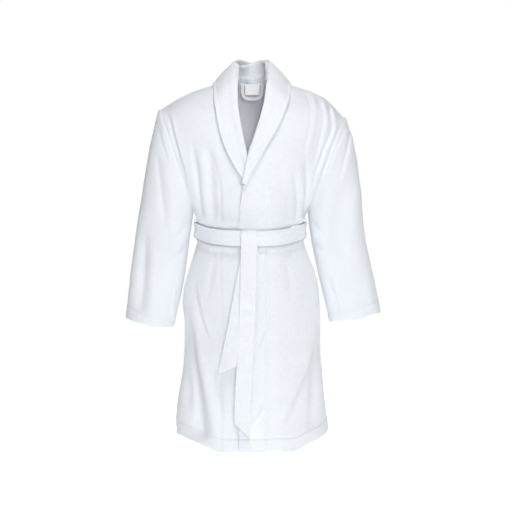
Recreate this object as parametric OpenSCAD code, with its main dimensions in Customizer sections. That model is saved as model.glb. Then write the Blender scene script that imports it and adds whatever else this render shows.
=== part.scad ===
/* [Body] */
// Length from the back-neck seam down to the hem
robe_len = 1063; // [900:1:1300]
// Width across the shoulders, tip to tip
shoulder_w = 542; // [450:1:660]
// How far the shoulder tips lie below the back-neck seam
shoulder_drop = 80; // [60:1:100]
// Height of an armhole, from the shoulder tip down to the armpit
armhole_h = 290; // [240:1:350]
// Depth of an armhole, front to back
armhole_d = 124; // [100:1:150]
// Width between the armpits
chest_w = 344; // [280:1:415]
// Width at the belt
waist_w = 302; // [250:1:370]
// Height of the belt's middle below the armpits
waist_below_armpit = 60; // [50:1:80]
// Width at the hips
hip_w = 396; // [330:1:480]
// Height of the hips below the belt's middle
hip_below_waist = 170; // [130:1:210]
// Width at the hem
hem_w = 464; // [390:1:560]
// Height of the turned-up hem
hem_h = 38; // [20:1:50]

/* [Depth] */
// Shoulder line forward to the front, at the neck
neck_front = 60; // [50:1:72]
// Shoulder line back to the back-neck seam
neck_back = 75; // [62:1:90]
// Shoulder line forward to the front, at the shoulder tips
shoulder_front = 88; // [74:1:105]
// Shoulder line back to the back, at the shoulder tips
shoulder_back = 104; // [87:1:125]
// Shoulder line forward to the chest
chest_front = 110; // [92:1:132]
// Shoulder line back to the shoulder blades
chest_back = 118; // [98:1:142]
// Shoulder line forward to the belly
waist_front = 108; // [90:1:130]
// Shoulder line back to the small of the back
waist_back = 92; // [77:1:110]
// Shoulder line forward to the front at the hips
hip_front = 128; // [107:1:154]
// Shoulder line back to the seat
hip_back = 122; // [102:1:147]
// Shoulder line forward to the front hem
hem_front = 170; // [142:1:204]
// Shoulder line back to the back hem
hem_back = 150; // [125:1:180]

/* [Cloth] */
// Thickness of the terry cloth
cloth_t = 4; // [3:0.5:5]
// Thickness of the front facings
facing_t = 3; // [2:0.5:4]
// Thickness of the doubled collar
collar_t = 6; // [4:0.5:8]
// Clear space between layers that lie on each other
layer_gap = 1.5; // [1:0.1:2]
// Clear space between a sleeve's top edge and the armhole
armhole_gap = 1.2; // [0.8:0.1:2]

/* [Neck and collar] */
// Width of the neck seam
neck_w = 144; // [120:1:174]
// How far the neck seam rises from the centre back to the shoulders
neck_rise = 12; // [6:1:20]
// Width of the opening between the collar's folds
fold_w = 82; // [68:1:99]
// Height of the collar's fold above the back-neck seam
stand_h = 60; // [50:1:72]
// Extra height of the fold either side of the centre back
fold_peak = 8; // [0:1:12]
// Width across the collar's outer edges, on the shoulders
collar_span = 212; // [180:1:255]
// How far the collar's edge hangs below the back-neck seam
collar_cover = 13; // [8:1:20]
// Height of the point where the lapels cross, below the back-neck seam
cross_drop = 222; // [190:1:260]
// Height of the lapels' lower ends, below the back-neck seam
lapel_drop = 290; // [270:1:340]
// Sideways shift of the point where the lapels cross
cross_shift = -13; // [-20:1:0]

/* [Fronts] */
// How far the left front passes the centre line, at the belt
left_overlap = 38; // [25:1:60]
// How far the right front stays short of the centre line
right_short = 8; // [0:1:15]
// Width of the front facings
facing_w = 87; // [70:1:105]

/* [Sleeves] */
// Distance of a cuff's outer edge from the centre line
cuff_out = 380; // [320:1:450]
// Height of a cuff's outer edge below the back-neck seam
cuff_drop = 690; // [600:1:830]
// Width of a cuff
cuff_w = 140; // [115:1:168]
// Depth of a cuff, front to back
cuff_d = 100; // [84:1:120]
// How much higher a cuff's outer edge is than its inner edge
cuff_tilt = 25; // [15:1:40]
// Outward bow of the sleeve's outer edge
sleeve_bow = 22; // [10:1:35]
// Height of the turned-up cuff hem
cuff_h = 36; // [20:1:50]

/* [Belt] */
// Width of the belt
belt_w = 46; // [38:1:55]
// Thickness of the belt
belt_t = 6; // [4:0.5:8]
// How far the belt dips at the knot
belt_dip = 14; // [0:1:20]
// Sideways place of the knot
knot_x = -9; // [-20:1:10]
// Depth of the knot
knot_t = 14; // [12.5:0.5:18]
// Length of the front tail
front_tail_len = 540; // [450:1:600]
// Length of the rear tail
rear_tail_len = 356; // [300:1:430]
// Lean of the rear tail away from the front tail
rear_tail_lean = 10.5; // [6:0.5:14]
// Slope of both tails where they lie on the skirt
tail_slope = 6.2; // [6:0.1:9]
// Clear space between the tails, and round the knot
tail_gap = 1.5; // [1:0.1:2]

/* [Belt loops] */
// Width of a belt loop
carrier_w = 10; // [6:1:14]
// Thickness of a belt loop
carrier_t = 1.8; // [1.2:0.1:2.4]
// How far a belt loop runs past the belt, above and below
carrier_end = 12; // [8:1:16]

/* [Hanging loop and label] */
// Width of the gap in the hanging loop
loop_gap_w = 49; // [41:1:58]
// Depth of the gap in the hanging loop
loop_gap_h = 39; // [33:1:46]
// Width of the loop's tape
tape_w = 9; // [6:1:12]
// Thickness of the loop's tape
tape_t = 1.6; // [1:0.1:2.4]
// Inner corner radius of the loop
loop_r = 14; // [8:1:16]
// Clear space between the label and the loop
label_gap = 3; // [2:0.5:5]
// Thickness of the label
label_t = 0.8; // [0.5:0.1:1.2]
// Thickness of the back-neck tape
neck_tape_t = 1.5; // [1:0.1:2]

/* [Stitching] */
// Width of a row of thread
thread_w = 1.6; // [1:0.1:2.5]
// Height of a row of thread
thread_t = 0.6; // [0.4:0.1:1]
// Distance of the collar's stitching from its edge, as a share of its width
collar_stitch = 0.16; // [0.1:0.01:0.25]

/* [Hidden] */

terry = "whitesmoke";
tape = "white";
thread = "gainsboro";

// Sides: the left front lies on top, the right front lies under it
LEFT = 1;
RIGHT = -1;

// Heights, all measured from the back-neck seam
tip_z = -shoulder_drop;
armpit_z = tip_z - armhole_h;
waist_z = armpit_z - waist_below_armpit;
hip_z = waist_z - hip_below_waist;
hem_z = -robe_len;
thigh_z = (hip_z + hem_z) / 2;
chest_z = (tip_z + armpit_z) / 2;

// Half widths and depths at each height, as [drop, value]
width_tab = [[-armpit_z, chest_w / 2], [-waist_z, waist_w / 2], [-hip_z, hip_w / 2],
             [-thigh_z, hip_w / 2 + 0.3 * (hem_w - hip_w) / 2], [robe_len, hem_w / 2]];
front_tab = [[0, neck_front], [-tip_z, shoulder_front], [-chest_z, chest_front],
             [-armpit_z, (chest_front + waist_front) / 2], [-waist_z, waist_front],
             [-hip_z, hip_front], [-thigh_z, hip_front + 0.57 * (hem_front - hip_front)],
             [robe_len, hem_front]];
back_tab = [[0, neck_back], [-tip_z, shoulder_back], [-chest_z, chest_back],
            [-armpit_z, (chest_back + waist_back) / 2], [-waist_z, waist_back],
            [-hip_z, hip_back], [-thigh_z, hip_back + 0.57 * (hem_back - hip_back)],
            [robe_len, hem_back]];

// Rise of the top layer over the under layer, and over the under lapel
lap = 2 * layer_gap + cloth_t + facing_t;
lapel_lap = collar_t + layer_gap;
lap_from = 42;
lap_to = 72;
lapel_lap_z = -(cross_drop + lapel_drop) / 2;
lapel_lap_h = 110;

function lerp(a, b, t) = a + (b - a) * t;
function ease(t) = let (u = min(1, max(0, t))) u * u * (3 - 2 * u);

// Smooth curve through a table of [drop, value]
function slope_at(tab, i) = let (a = tab[max(0, i - 1)], b = tab[min(len(tab) - 1, i + 1)])
    (b[1] - a[1]) / (b[0] - a[0]);
function span(tab, i, x) = let (h = tab[i + 1][0] - tab[i][0], u = (x - tab[i][0]) / h)
    (2 * u^3 - 3 * u^2 + 1) * tab[i][1] + (u^3 - 2 * u^2 + u) * h * slope_at(tab, i)
    + (3 * u^2 - 2 * u^3) * tab[i + 1][1] + (u^3 - u^2) * h * slope_at(tab, i + 1);
function curve(tab, x, i = 0) =
    i >= len(tab) - 2 || x <= tab[i + 1][0] ? span(tab, i, x) : curve(tab, x, i + 1);

// The armhole: a straight slanted line seen from the front, an ellipse seen from the side
function arm_share(z) = (z - armpit_z) / armhole_h;
function in_armhole(z) = z > armpit_z && z < tip_z;
function arm_x(z) = lerp(chest_w / 2, shoulder_w / 2, arm_share(z));
function arm_y(z) = let (s = arm_share(z)) armhole_d * sqrt(max(0, s * (1 - s)));

// The body's surface: an ellipse at each height, angle 0 at the left side, 90 at the back
function depth(front, z) = curve(front ? front_tab : back_tab, -z);
function half_w(front, z) =
    z >= tip_z ? lerp(neck_w / 2, shoulder_w / 2, z / tip_z) :
    z > armpit_z ? arm_x(z) / sqrt(1 - (arm_y(z) / depth(front, z))^2) :
    curve(width_tab, -z);
function lift(side, front, a, z) = side == LEFT && front
    ? ease((abs(a) - lap_from) / (lap_to - lap_from))
      * (lap + lapel_lap * ease(2 - 2 * abs(z - lapel_lap_z) / lapel_lap_h)) : 0;
function body_at(side, a, z) = let (front = a < 0)
    [half_w(front, z) * cos(a), (depth(front, z) + lift(side, front, a, z)) * sin(a),
     z + neck_rise * max(0, 1 - z / tip_z) * cos(a)^2];
function unit(v) = v / norm(v);
function body_normal(side, a, z) = unit(cross(body_at(side, a + 0.5, z) - body_at(side, a - 0.5, z),
                                              body_at(side, a, z + 1) - body_at(side, a, z - 1)));
function body_off(side, a, z, off) = body_at(side, a, z) + off * body_normal(side, a, z);

// Where the fronts start and end, as angles from the side
function arm_angle(front, z) = in_armhole(z) ? asin(arm_y(z) / depth(front, z)) : 0;
function shift(z) = lerp(0, cross_shift, min(1, -z / cross_drop));
function edge_x(side) = side == LEFT ? -left_overlap : right_short;
function inner_x(side, z) = z > -cross_drop
    ? fold_w / 2 * max(0, cos(90 * -z / cross_drop))^1.2 + side * shift(z)
    : lerp(side * cross_shift, edge_x(side), sin(90 * min(1, (-z - cross_drop) / (-waist_z - cross_drop))));
function angle_of(x, z) = acos(min(0.985, x / half_w(true, z)));
function inner_angle(side, z) = angle_of(inner_x(side, z), z);
function facing_angle(side, z) = let (top = (arm_angle(true, z) + inner_angle(side, z)) / 2)
    lerp(angle_of(inner_x(side, z) + facing_w, z), top, ease((z - chest_z + 60) / 120));

// Heights of the rows of points, hem first
skirt_rows = 7;
waist_rows = 2;
arm_rows = 7;
shoulder_rows = 4;
belly_z = waist_z - belt_w;
rows = concat([hem_z], [for (i = [0:skirt_rows]) lerp(hem_z + hem_h, belly_z, i / skirt_rows)],
              [for (i = [1:waist_rows]) lerp(belly_z, armpit_z, i / waist_rows)],
              [for (i = [1:arm_rows]) lerp(armpit_z, tip_z, (1 - cos(180 * i / arm_rows)) / 2)],
              [for (i = [1:shoulder_rows]) tip_z * (1 - i / shoulder_rows)]);

// Angles of the columns of points
side_cols = 4;
edge_cols = 3;
back_cols = 12;
function front_angles(side, z) = concat(
    [for (i = [0:side_cols]) -lerp(arm_angle(true, z), facing_angle(side, z), i / side_cols)],
    [for (i = [1:edge_cols]) -lerp(facing_angle(side, z), inner_angle(side, z), i / edge_cols)]);
function back_angles(z) = [for (i = [0:back_cols])
    lerp(arm_angle(false, z), 180 - arm_angle(false, z), i / back_cols)];

// A closed skin between two grids of points
function grid(g) = [for (row = g) each row];
function two(a, b, c, d) = [[a, b, c], [a, c, d]];
module skin(outer, inner, closed = false) {
    nr = len(outer);
    nc = len(outer[0]);
    n = nr * nc;
    last = closed ? nc - 1 : nc - 2;
    function at(r, c) = r * nc + c % nc;
    faces = concat(
        [for (r = [0:nr - 2], c = [0:last])
            each two(at(r, c), at(r + 1, c), at(r + 1, c + 1), at(r, c + 1))],
        [for (r = [0:nr - 2], c = [0:last])
            each two(n + at(r, c + 1), n + at(r + 1, c + 1), n + at(r + 1, c), n + at(r, c))],
        [for (c = [0:last]) each two(at(0, c), at(0, c + 1), n + at(0, c + 1), n + at(0, c))],
        [for (c = [0:last]) each two(at(nr - 1, c + 1), at(nr - 1, c), n + at(nr - 1, c), n + at(nr - 1, c + 1))],
        closed ? [] : [for (r = [0:nr - 2]) each two(at(r + 1, 0), at(r, 0), n + at(r, 0), n + at(r + 1, 0))],
        closed ? [] : [for (r = [0:nr - 2])
            each two(at(r, nc - 1), at(r + 1, nc - 1), n + at(r + 1, nc - 1), n + at(r, nc - 1))]);
    polyhedron(points = concat(grid(outer), grid(inner)), faces = faces);
}

// Puts a piece in the robe's frame, whose origin is the middle of the back-neck seam
module placed(side = LEFT) translate([0, -neck_back, 0]) mirror([side == LEFT ? 0 : 1, 0, 0]) children();

// Panels of the body
function front_grid(side, zs, first, last, off) = [for (z = zs) let (a = front_angles(side, z))
    [for (i = [first:last]) body_off(side, a[i], z, off)]];
module front_panel(side) color(terry) placed(side) {
    last = side_cols + edge_cols;
    skin(front_grid(side, rows, 0, last, -cloth_t), front_grid(side, rows, 0, last, 0));
}
function back_grid(zs, off) = [for (z = zs) [for (a = back_angles(z)) body_off(LEFT, a, z, off)]];
module back_panel() color(terry) placed() skin(back_grid(rows, 0), back_grid(rows, -cloth_t));
module left_front_panel() front_panel(LEFT);
module right_front_panel() front_panel(RIGHT);

// Facings behind the front edges, up to the chest
facing_top_rows = 3;
module front_facing(side) color(terry) placed(side) {
    zs = [for (i = [1:len(rows) - 1 - facing_top_rows]) rows[i]];
    off = -cloth_t - layer_gap;
    skin(front_grid(side, zs, side_cols, side_cols + edge_cols, off - facing_t),
         front_grid(side, zs, side_cols, side_cols + edge_cols, off));
}
module left_front_facing() front_facing(LEFT);
module right_front_facing() front_facing(RIGHT);

// Sleeves: rings from the armhole to the cuff, each set by its outer and its inner point
function bend(a, b, c, t) = (1 - t)^2 * a + 2 * t * (1 - t) * b + t^2 * c;
tip = [shoulder_w / 2, tip_z];
armpit = [chest_w / 2, armpit_z];
cuff_outer = [cuff_out, -cuff_drop];
cuff_inner = [cuff_out - cuff_w, -cuff_drop - cuff_tilt];
outer_mid = (tip + cuff_outer) / 2 + [sleeve_bow - cuff_tilt / 2, sleeve_bow * 3];
inner_mid = [lerp(armpit[0], cuff_inner[0], 0.24), (armpit[1] + cuff_inner[1]) / 2 + sleeve_bow];
armhole_out = unit([tip[1] - armpit[1], armpit[0] - tip[0]]) * armhole_gap;
cuff_share = 1 - cuff_h / norm(cuff_outer - outer_mid) / 2;
function sleeve_outer(t) = bend(tip, outer_mid, cuff_outer, t) + armhole_out;
function sleeve_inner(t) = bend(armpit, inner_mid, cuff_inner, t) + armhole_out;
function sleeve_d(t) = lerp(armhole_d / 2, cuff_d / 2, ease(t)) + 10 * sin(180 * min(1, t * 1.4)) * (1 - t);
function sleeve_at(t, a, off) = let (o = sleeve_outer(t), i = sleeve_inner(t), m = (o + i) / 2, h = (o - i) / 2,
                                     r = h * (1 + off / norm(h)))
    [m[0] + r[0] * cos(a), (sleeve_d(t) + off) * sin(a), m[1] + r[1] * cos(a)];
sleeve_rings = 8;
sleeve_cols = 16;
sleeve_ts = concat([for (i = [0:sleeve_rings]) i / sleeve_rings * cuff_share], [1]);
function sleeve_rows(off) = [for (t = sleeve_ts)
    [for (j = [0:sleeve_cols - 1]) sleeve_at(t, 360 * j / sleeve_cols, off)]];
module sleeve(side) color(terry) placed(side) skin(sleeve_rows(-cloth_t), sleeve_rows(0), closed = true);
module left_sleeve() sleeve(LEFT);
module right_sleeve() sleeve(RIGHT);

// Collar: a strip from its fold line to its outer edge, round the neck and down the front
fold_x = neck_w / 3;
fold_y = neck_back - 9;
side_fold_z = stand_h - 5;
seam_fold_z = neck_rise / 3;
collar_back_rows = 6;
turn_rows = 4;
turn_angle = 60;
turn_share = 0.18;
lapel_rows = 9;
lapel_end = 0.985;
function seam_angle(side) = inner_angle(side, 0);
function fold_end(side) = body_at(side, -seam_angle(side), 0);
function back_fold(a) = [fold_x * cos(a), fold_y * sin(a), lerp(side_fold_z, stand_h, sin(a)) + fold_peak * sin(2 * a)];
function air_fold(side, t) = let (e = fold_end(side)) [lerp(fold_x, e[0], t), e[1] * t, lerp(side_fold_z, seam_fold_z, t)];
function lapel_z(t) = lerp(side_fold_z, -lapel_drop, t);
function fold_at(side, t) = let (z = lapel_z(t)) z > seam_fold_z
    ? air_fold(side, (side_fold_z - z) / (side_fold_z - seam_fold_z))
      + layer_gap * unit([1, -1, 0]) * ease((side_fold_z - z) / (side_fold_z - seam_fold_z))
    : body_off(side, -inner_angle(side, min(0, z)), min(0, z), layer_gap);
edge_top_z = ridge_z(collar_span / 2);
edge_end_z = -lapel_drop - 2;
function ridge_z(half) = tip_z * (half - neck_w / 2) / (shoulder_w / 2 - neck_w / 2);
function turn_z(a) = ridge_z(collar_span / 2 / cos(a));
function lapel_edge_z(t) = t < turn_share ? turn_z(turn_angle * t / turn_share)
    : lerp(turn_z(turn_angle), edge_end_z, (t - turn_share) / (1 - turn_share));
function lapel_edge_x(side, t) = let (z = lapel_edge_z(t), end = inner_x(side, -lapel_drop) + 2,
                                      s = (z - edge_top_z) / (edge_end_z - edge_top_z))
    end + (collar_span / 2 - end) * cos(90 * s) + side * shift(z) * sin(180 * s);
function lapel_edge_at(side, t) = let (z = lapel_edge_z(t), x = lapel_edge_x(side, t))
    body_off(side, -acos(min(1, x / half_w(true, z))), z, layer_gap);
function back_edge_at(a) = body_off(LEFT, a, lerp(edge_top_z, -collar_cover, sin(a)), layer_gap);
function across(p, q, v, bulge) = let (m = lerp(p, q, v)) m + bulge * 4 * v * (1 - v) * unit([m[0], m[1], 30]);
function over_front(side, m) = let (z = m[2], half = half_w(true, min(0, z)))
    z >= 0 || m[0] >= half ? m : let (on = body_off(side, -acos(m[0] / half), z, layer_gap)) on[1] < m[1] ? on : m;
collar_vs = [0, 0.35, 0.7, 1 - collar_stitch, 1];
function collar_back_row(a) = [for (v = collar_vs) across(back_fold(a), back_edge_at(a), v, 3)];
function collar_front_row(side, t) = let (p = fold_at(side, t), q = lapel_edge_at(side, t), w = ease(-lapel_z(t) / 60))
    [for (v = collar_vs) over_front(side, across(p, q, v, 3 * (1 - w)))];
front_shares = concat([for (i = [1:turn_rows]) turn_share * i / turn_rows],
                      [for (i = [1:lapel_rows]) lerp(turn_share, lapel_end, i / lapel_rows)]);
function collar_under(side) = concat(
    [for (i = [0:collar_back_rows]) collar_back_row(90 * (1 - i / collar_back_rows))],
    [for (t = front_shares) collar_front_row(side, t)]);
function grid_normal(g, r, c) = let (nr = len(g) - 1, nc = len(g[0]) - 1)
    unit(cross(g[min(nr, r + 1)][c] - g[max(0, r - 1)][c], g[r][min(nc, c + 1)] - g[r][max(0, c - 1)]));
function raised(g, off) = [for (r = [0:len(g) - 1]) [for (c = [0:len(g[0]) - 1])
    let (n = grid_normal(g, r, c)) g[r][c] + off * (r == 0 ? unit([0, n[1], n[2]]) : n)]];
module collar(side) color(terry) placed(side) {
    under = collar_under(side);
    skin(under, raised(under, collar_t));
}
module left_collar() collar(LEFT);
module right_collar() collar(RIGHT);

// Under collar: the stand inside, from the neck seam up to the fold
stand_back_cols = 6;
stand_front_cols = 3;
stand_in = collar_t / 2 + 2 * layer_gap;
stand_lift = 0.5;
stand_end = 0.8;
function drawn_in(p, by) = let (n = norm([p[0], p[1]])) [p[0] * (1 - by / n), p[1] * (1 - by / n), p[2]];
function stand_row(side, foot, top) = [for (v = [0, 0.5, 1]) lerp(foot + [0, 0, stand_lift], top, v)];
function stand_back(a) = stand_row(LEFT, drawn_in(body_at(LEFT, a, 0), layer_gap), drawn_in(back_fold(a), stand_in));
function stand_front(side, e) = stand_row(side, drawn_in(body_at(side, -seam_angle(side) * e, 0), layer_gap),
                                          drawn_in(air_fold(side, e), stand_in));
function across_x(g) = [for (p = g) [-p[0], p[1], p[2]]];
stand_rows = concat(
    [for (i = [stand_front_cols:-1:1]) across_x(stand_front(RIGHT, stand_end * i / stand_front_cols))],
    [for (i = [0:2 * stand_back_cols]) stand_back(180 - 90 * i / stand_back_cols)],
    [for (i = [1:stand_front_cols]) stand_front(LEFT, stand_end * i / stand_front_cols)]);
function moved_in(g, off) = [for (row = g) [for (p = row) drawn_in(p, off)]];
module under_collar() color(terry) placed() skin(stand_rows, moved_in(stand_rows, cloth_t));

// Tape over the back-neck seam, inside
tape_cols = [3:9];
tape_h = 14;
function tape_grid(off) = [for (z = [-tape_h, -2]) let (a = back_angles(z)) [for (i = tape_cols) body_off(LEFT, a[i], z, off)]];
module back_neck_tape() color(tape) placed()
    skin(tape_grid(-cloth_t - layer_gap), tape_grid(-cloth_t - layer_gap - neck_tape_t));

// Hanging loop and label, hung on one line just inside the neck tape
loop_w = loop_gap_w + 2 * tape_w;
seam_bow = neck_back * (1 - sqrt(1 - (loop_w / neck_w)^2));
hang_y = -seam_bow - cloth_t - 2 * layer_gap - neck_tape_t - tape_t / 2;
hang_z = -3;
label_w = loop_gap_w - 2 * label_gap;
label_h = loop_gap_h - 2 * label_gap - 1;
module rounded_drop(w, h, r) {
    translate([-w / 2, -h + r]) square([w, h - r]);
    translate([-w / 2 + r, -h]) square([w - 2 * r, r]);
    for (x = [-1, 1]) translate([x * (w / 2 - r), -h + r]) circle(r = r, $fn = 48);
}
module upright(t) translate([0, hang_y + t / 2, hang_z]) rotate([90, 0, 0]) linear_extrude(t) children();
module hanging_loop() color(tape) upright(tape_t) difference() {
    rounded_drop(loop_w, loop_gap_h + tape_w, loop_r + tape_w);
    rounded_drop(loop_gap_w, loop_gap_h, loop_r);
}
module woven_label() color("white") upright(label_t) rounded_drop(label_w, label_h, 2);

// Belt: a band round the waist, over both fronts
belt_cols = 36;
belt_off = 2 * layer_gap;
function belt_z(a) = waist_z - belt_dip * ease((-sin(a) - 0.1) / 0.9);
function belt_lift(a) = let (s = ease((-sin(a) - sin(lap_from) + 0.25) / 0.5)) [0, -lap * s, 0];
function belt_row(k, off) = [for (i = [0:belt_cols - 1]) let (a = 360 * i / belt_cols - 180, z = belt_z(a) + k * belt_w / 2)
    body_off(RIGHT, a, z, off) + belt_lift(a)];
function belt_rows(off) = [for (k = [-1:0.5:1]) belt_row(k, off)];
module belt_wrap() color(terry) placed() skin(belt_rows(belt_off + belt_t), belt_rows(belt_off), closed = true);

// Knot and tails, in front of the belt
knot_z = waist_z - belt_dip;
belt_face = depth(true, knot_z) + lap + belt_off + belt_t;
knot_back = -neck_back - belt_face - tail_gap - 2;
knot_h = belt_w + 4;
knot_r = 6;
knot_top = knot_z + knot_h / 2;
module belt_knot() color(terry) translate([knot_x, knot_back, knot_z]) rotate([90, 0, 0])
    linear_extrude(knot_t) offset(r = knot_r, $fn = 32) square([belt_w + 2 - 2 * knot_r, knot_h - 2 * knot_r], center = true);

// A tail hangs from a round top end, which turns under the knot, to a slanted bottom end
tail_top = knot_z - knot_h / 2 - tail_gap - belt_w / 2;
tail_slant = 33;
tail_t = (knot_t - tail_gap) / 2;
module tail_outline(len, slant) polygon(concat(
    [for (a = [0:7.5:180]) belt_w / 2 * [cos(a), sin(a)]],
    [[-belt_w / 2, slant > 0 ? -slant - len : -len], [belt_w / 2, slant > 0 ? -len : slant - len]]));
module tail(depth_in_knot, len, slant, lean) translate([knot_x, knot_back - depth_in_knot, tail_top])
    rotate([-tail_slope, 0, 0]) rotate([90, 0, 0]) rotate(-lean) linear_extrude(tail_t) tail_outline(len, slant);
module belt_front_tail() color(terry)
    tail(tail_t + tail_gap, front_tail_len - belt_w / 2 - tail_slant, -tail_slant, 1.5);
module belt_rear_tail() color(terry)
    tail(0, rear_tail_len - belt_w / 2, tail_slant / 1.5, rear_tail_lean);

// Belt loops: a strap on each side seam, outside the belt
carrier_off = belt_off + belt_t + 1.5 * layer_gap;
carrier_h = belt_w + 2 * carrier_end;
function carrier_reach(k) = lerp(carrier_off, 1.8 * layer_gap, ease((abs(k) - 0.72) / 0.2));
carrier_ks = [-1, -0.92, -0.82, -0.72, -0.36, 0, 0.36, 0.72, 0.82, 0.92, 1];
function carrier_x(k) = half_w(true, waist_z + k * carrier_h / 2) + carrier_reach(k);
module belt_loop(side) color(terry) placed(side) translate([0, carrier_w / 2, 0]) rotate([90, 0, 0])
    linear_extrude(carrier_w) polygon(concat(
        [for (k = carrier_ks) [carrier_x(k), waist_z + k * carrier_h / 2]],
        [for (i = [len(carrier_ks) - 1:-1:0]) let (k = carrier_ks[i]) [carrier_x(k) + carrier_t, waist_z + k * carrier_h / 2]]));
module left_belt_loop() belt_loop(LEFT);
module right_belt_loop() belt_loop(RIGHT);

// Rows of thread: flat ribbons just off the cloth
thread_off = 0.2;
module ribbon(outer, inner, closed = false) color(thread) skin(outer, inner, closed);
hem_thread_z = hem_z + hem_h;
hem_thread_zs = [hem_thread_z - thread_w / 2, hem_thread_z + thread_w / 2];
module hem_thread() {
    last = side_cols + edge_cols;
    placed() ribbon(back_grid(hem_thread_zs, thread_off + thread_t), back_grid(hem_thread_zs, thread_off));
    for (side = [LEFT, RIGHT]) placed(side)
        ribbon(front_grid(side, hem_thread_zs, 0, last, thread_off),
               front_grid(side, hem_thread_zs, 0, last, thread_off + thread_t));
}
function cuff_ring(off) = [for (k = [-1, 1]) let (t = cuff_share + k * thread_w / 2 / norm(cuff_outer - outer_mid))
    [for (j = [0:sleeve_cols - 1]) sleeve_at(t, 360 * j / sleeve_cols, off)]];
module cuff_thread(side) placed(side) ribbon(cuff_ring(thread_off), cuff_ring(thread_off + thread_t), closed = true);
module left_cuff_thread() cuff_thread(LEFT);
module right_cuff_thread() cuff_thread(RIGHT);

// A ribbon along one column of a grid, between two of its own edges
function strip(g, c, off, toward) = [for (k = [-1, 1]) [for (r = [1:len(g) - 2])
    let (d = unit(g[r][c + toward] - g[r][c])) g[r][c] + k * thread_w / 2 * d + off * grid_normal(g, r, c)]];
module collar_thread(side) placed(side) {
    top = raised(collar_under(side), collar_t);
    ribbon(strip(top, 3, thread_off, -1), strip(top, 3, thread_off + thread_t, -1));
}
module left_collar_thread() collar_thread(LEFT);
module right_collar_thread() collar_thread(RIGHT);
facing_thread_rows = [for (i = [1:len(rows) - shoulder_rows - 4]) rows[i]];
module facing_thread(side) placed(side) {
    top = front_grid(side, facing_thread_rows, 0, side_cols + edge_cols, 0);
    ribbon(strip(top, side_cols, thread_off, -1), strip(top, side_cols, thread_off + thread_t, -1));
}
module left_facing_thread() facing_thread(LEFT);
module right_facing_thread() facing_thread(RIGHT);

back_panel();
left_front_panel();
right_front_panel();
left_sleeve();
right_sleeve();
left_collar();
right_collar();
under_collar();
left_front_facing();
right_front_facing();
back_neck_tape();
hanging_loop();
woven_label();
belt_wrap();
belt_knot();
belt_front_tail();
belt_rear_tail();
left_belt_loop();
right_belt_loop();
hem_thread();
left_cuff_thread();
right_cuff_thread();
left_collar_thread();
right_collar_thread();
left_facing_thread();
right_facing_thread();
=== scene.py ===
"""Looks of a terry bathrobe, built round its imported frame. Sizes in the pattern are in millimetres."""

import math

import bmesh
import bpy
import numpy as np
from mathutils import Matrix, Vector


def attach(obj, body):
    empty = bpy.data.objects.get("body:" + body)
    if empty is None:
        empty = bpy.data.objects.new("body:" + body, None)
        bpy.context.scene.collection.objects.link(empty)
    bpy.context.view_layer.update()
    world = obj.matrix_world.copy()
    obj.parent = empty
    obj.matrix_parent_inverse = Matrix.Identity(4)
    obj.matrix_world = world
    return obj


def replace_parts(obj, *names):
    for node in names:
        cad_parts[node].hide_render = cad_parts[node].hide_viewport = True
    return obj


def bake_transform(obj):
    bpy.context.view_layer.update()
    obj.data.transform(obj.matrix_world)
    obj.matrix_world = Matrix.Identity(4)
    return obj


bl_info = {
    "name": "Bathrobe",
    "version": (1, 0, 0),
    "blender": (4, 2, 0),
    "location": "3D View > Sidebar > Robe",
    "description": "Builds a white terry bathrobe with a shawl collar and a tied belt",
    "category": "Add Mesh",
}

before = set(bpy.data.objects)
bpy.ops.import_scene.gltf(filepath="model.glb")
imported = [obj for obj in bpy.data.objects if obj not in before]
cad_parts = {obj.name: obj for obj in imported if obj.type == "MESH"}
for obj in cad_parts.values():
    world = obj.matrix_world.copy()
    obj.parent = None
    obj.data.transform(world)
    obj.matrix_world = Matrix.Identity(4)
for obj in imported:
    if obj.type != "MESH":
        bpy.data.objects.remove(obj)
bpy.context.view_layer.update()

MM = 0.001
LEFT, RIGHT = 1, -1
ROOT = "robe_body"

# ---- The robe's pattern, in mm from the middle of the back-neck seam ----
ROBE_LEN = 1063
HEM_Z, TIP_Z, ARMPIT_Z, WAIST_Z, HIP_Z = -1063.0, -80.0, -370.0, -430.0, -600.0
THIGH_Z = (HIP_Z + HEM_Z) / 2
CHEST_Z = (TIP_Z + ARMPIT_Z) / 2
HEM_H, CUFF_H = 38, 36
SHOULDER, CHEST, WAIST, HIP, HEM = 542, 344, 302, 396, 464
ARMHOLE_D, ARMHOLE_GAP = 124, 1.2
NECK_W, NECK_FRONT, NECK_BACK, NECK_RISE = 144, 60, 75, 12
CLOTH, FACING, COLLAR, GAP = 4, 3, 6, 1.5
FOLD_W, STAND_H, FOLD_PEAK, COLLAR_SPAN, COLLAR_COVER = 82, 60, 8, 212, 13
CROSS_DROP, LAPEL_DROP, CROSS_SHIFT = 222, 290, -13
LEFT_OVERLAP, RIGHT_SHORT, FACING_W = 38, 8, 87
BELT_W, BELT_T, BELT_DIP, KNOT_X = 46, 6, 14, -9
BELT_OFF = 2 * GAP

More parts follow.
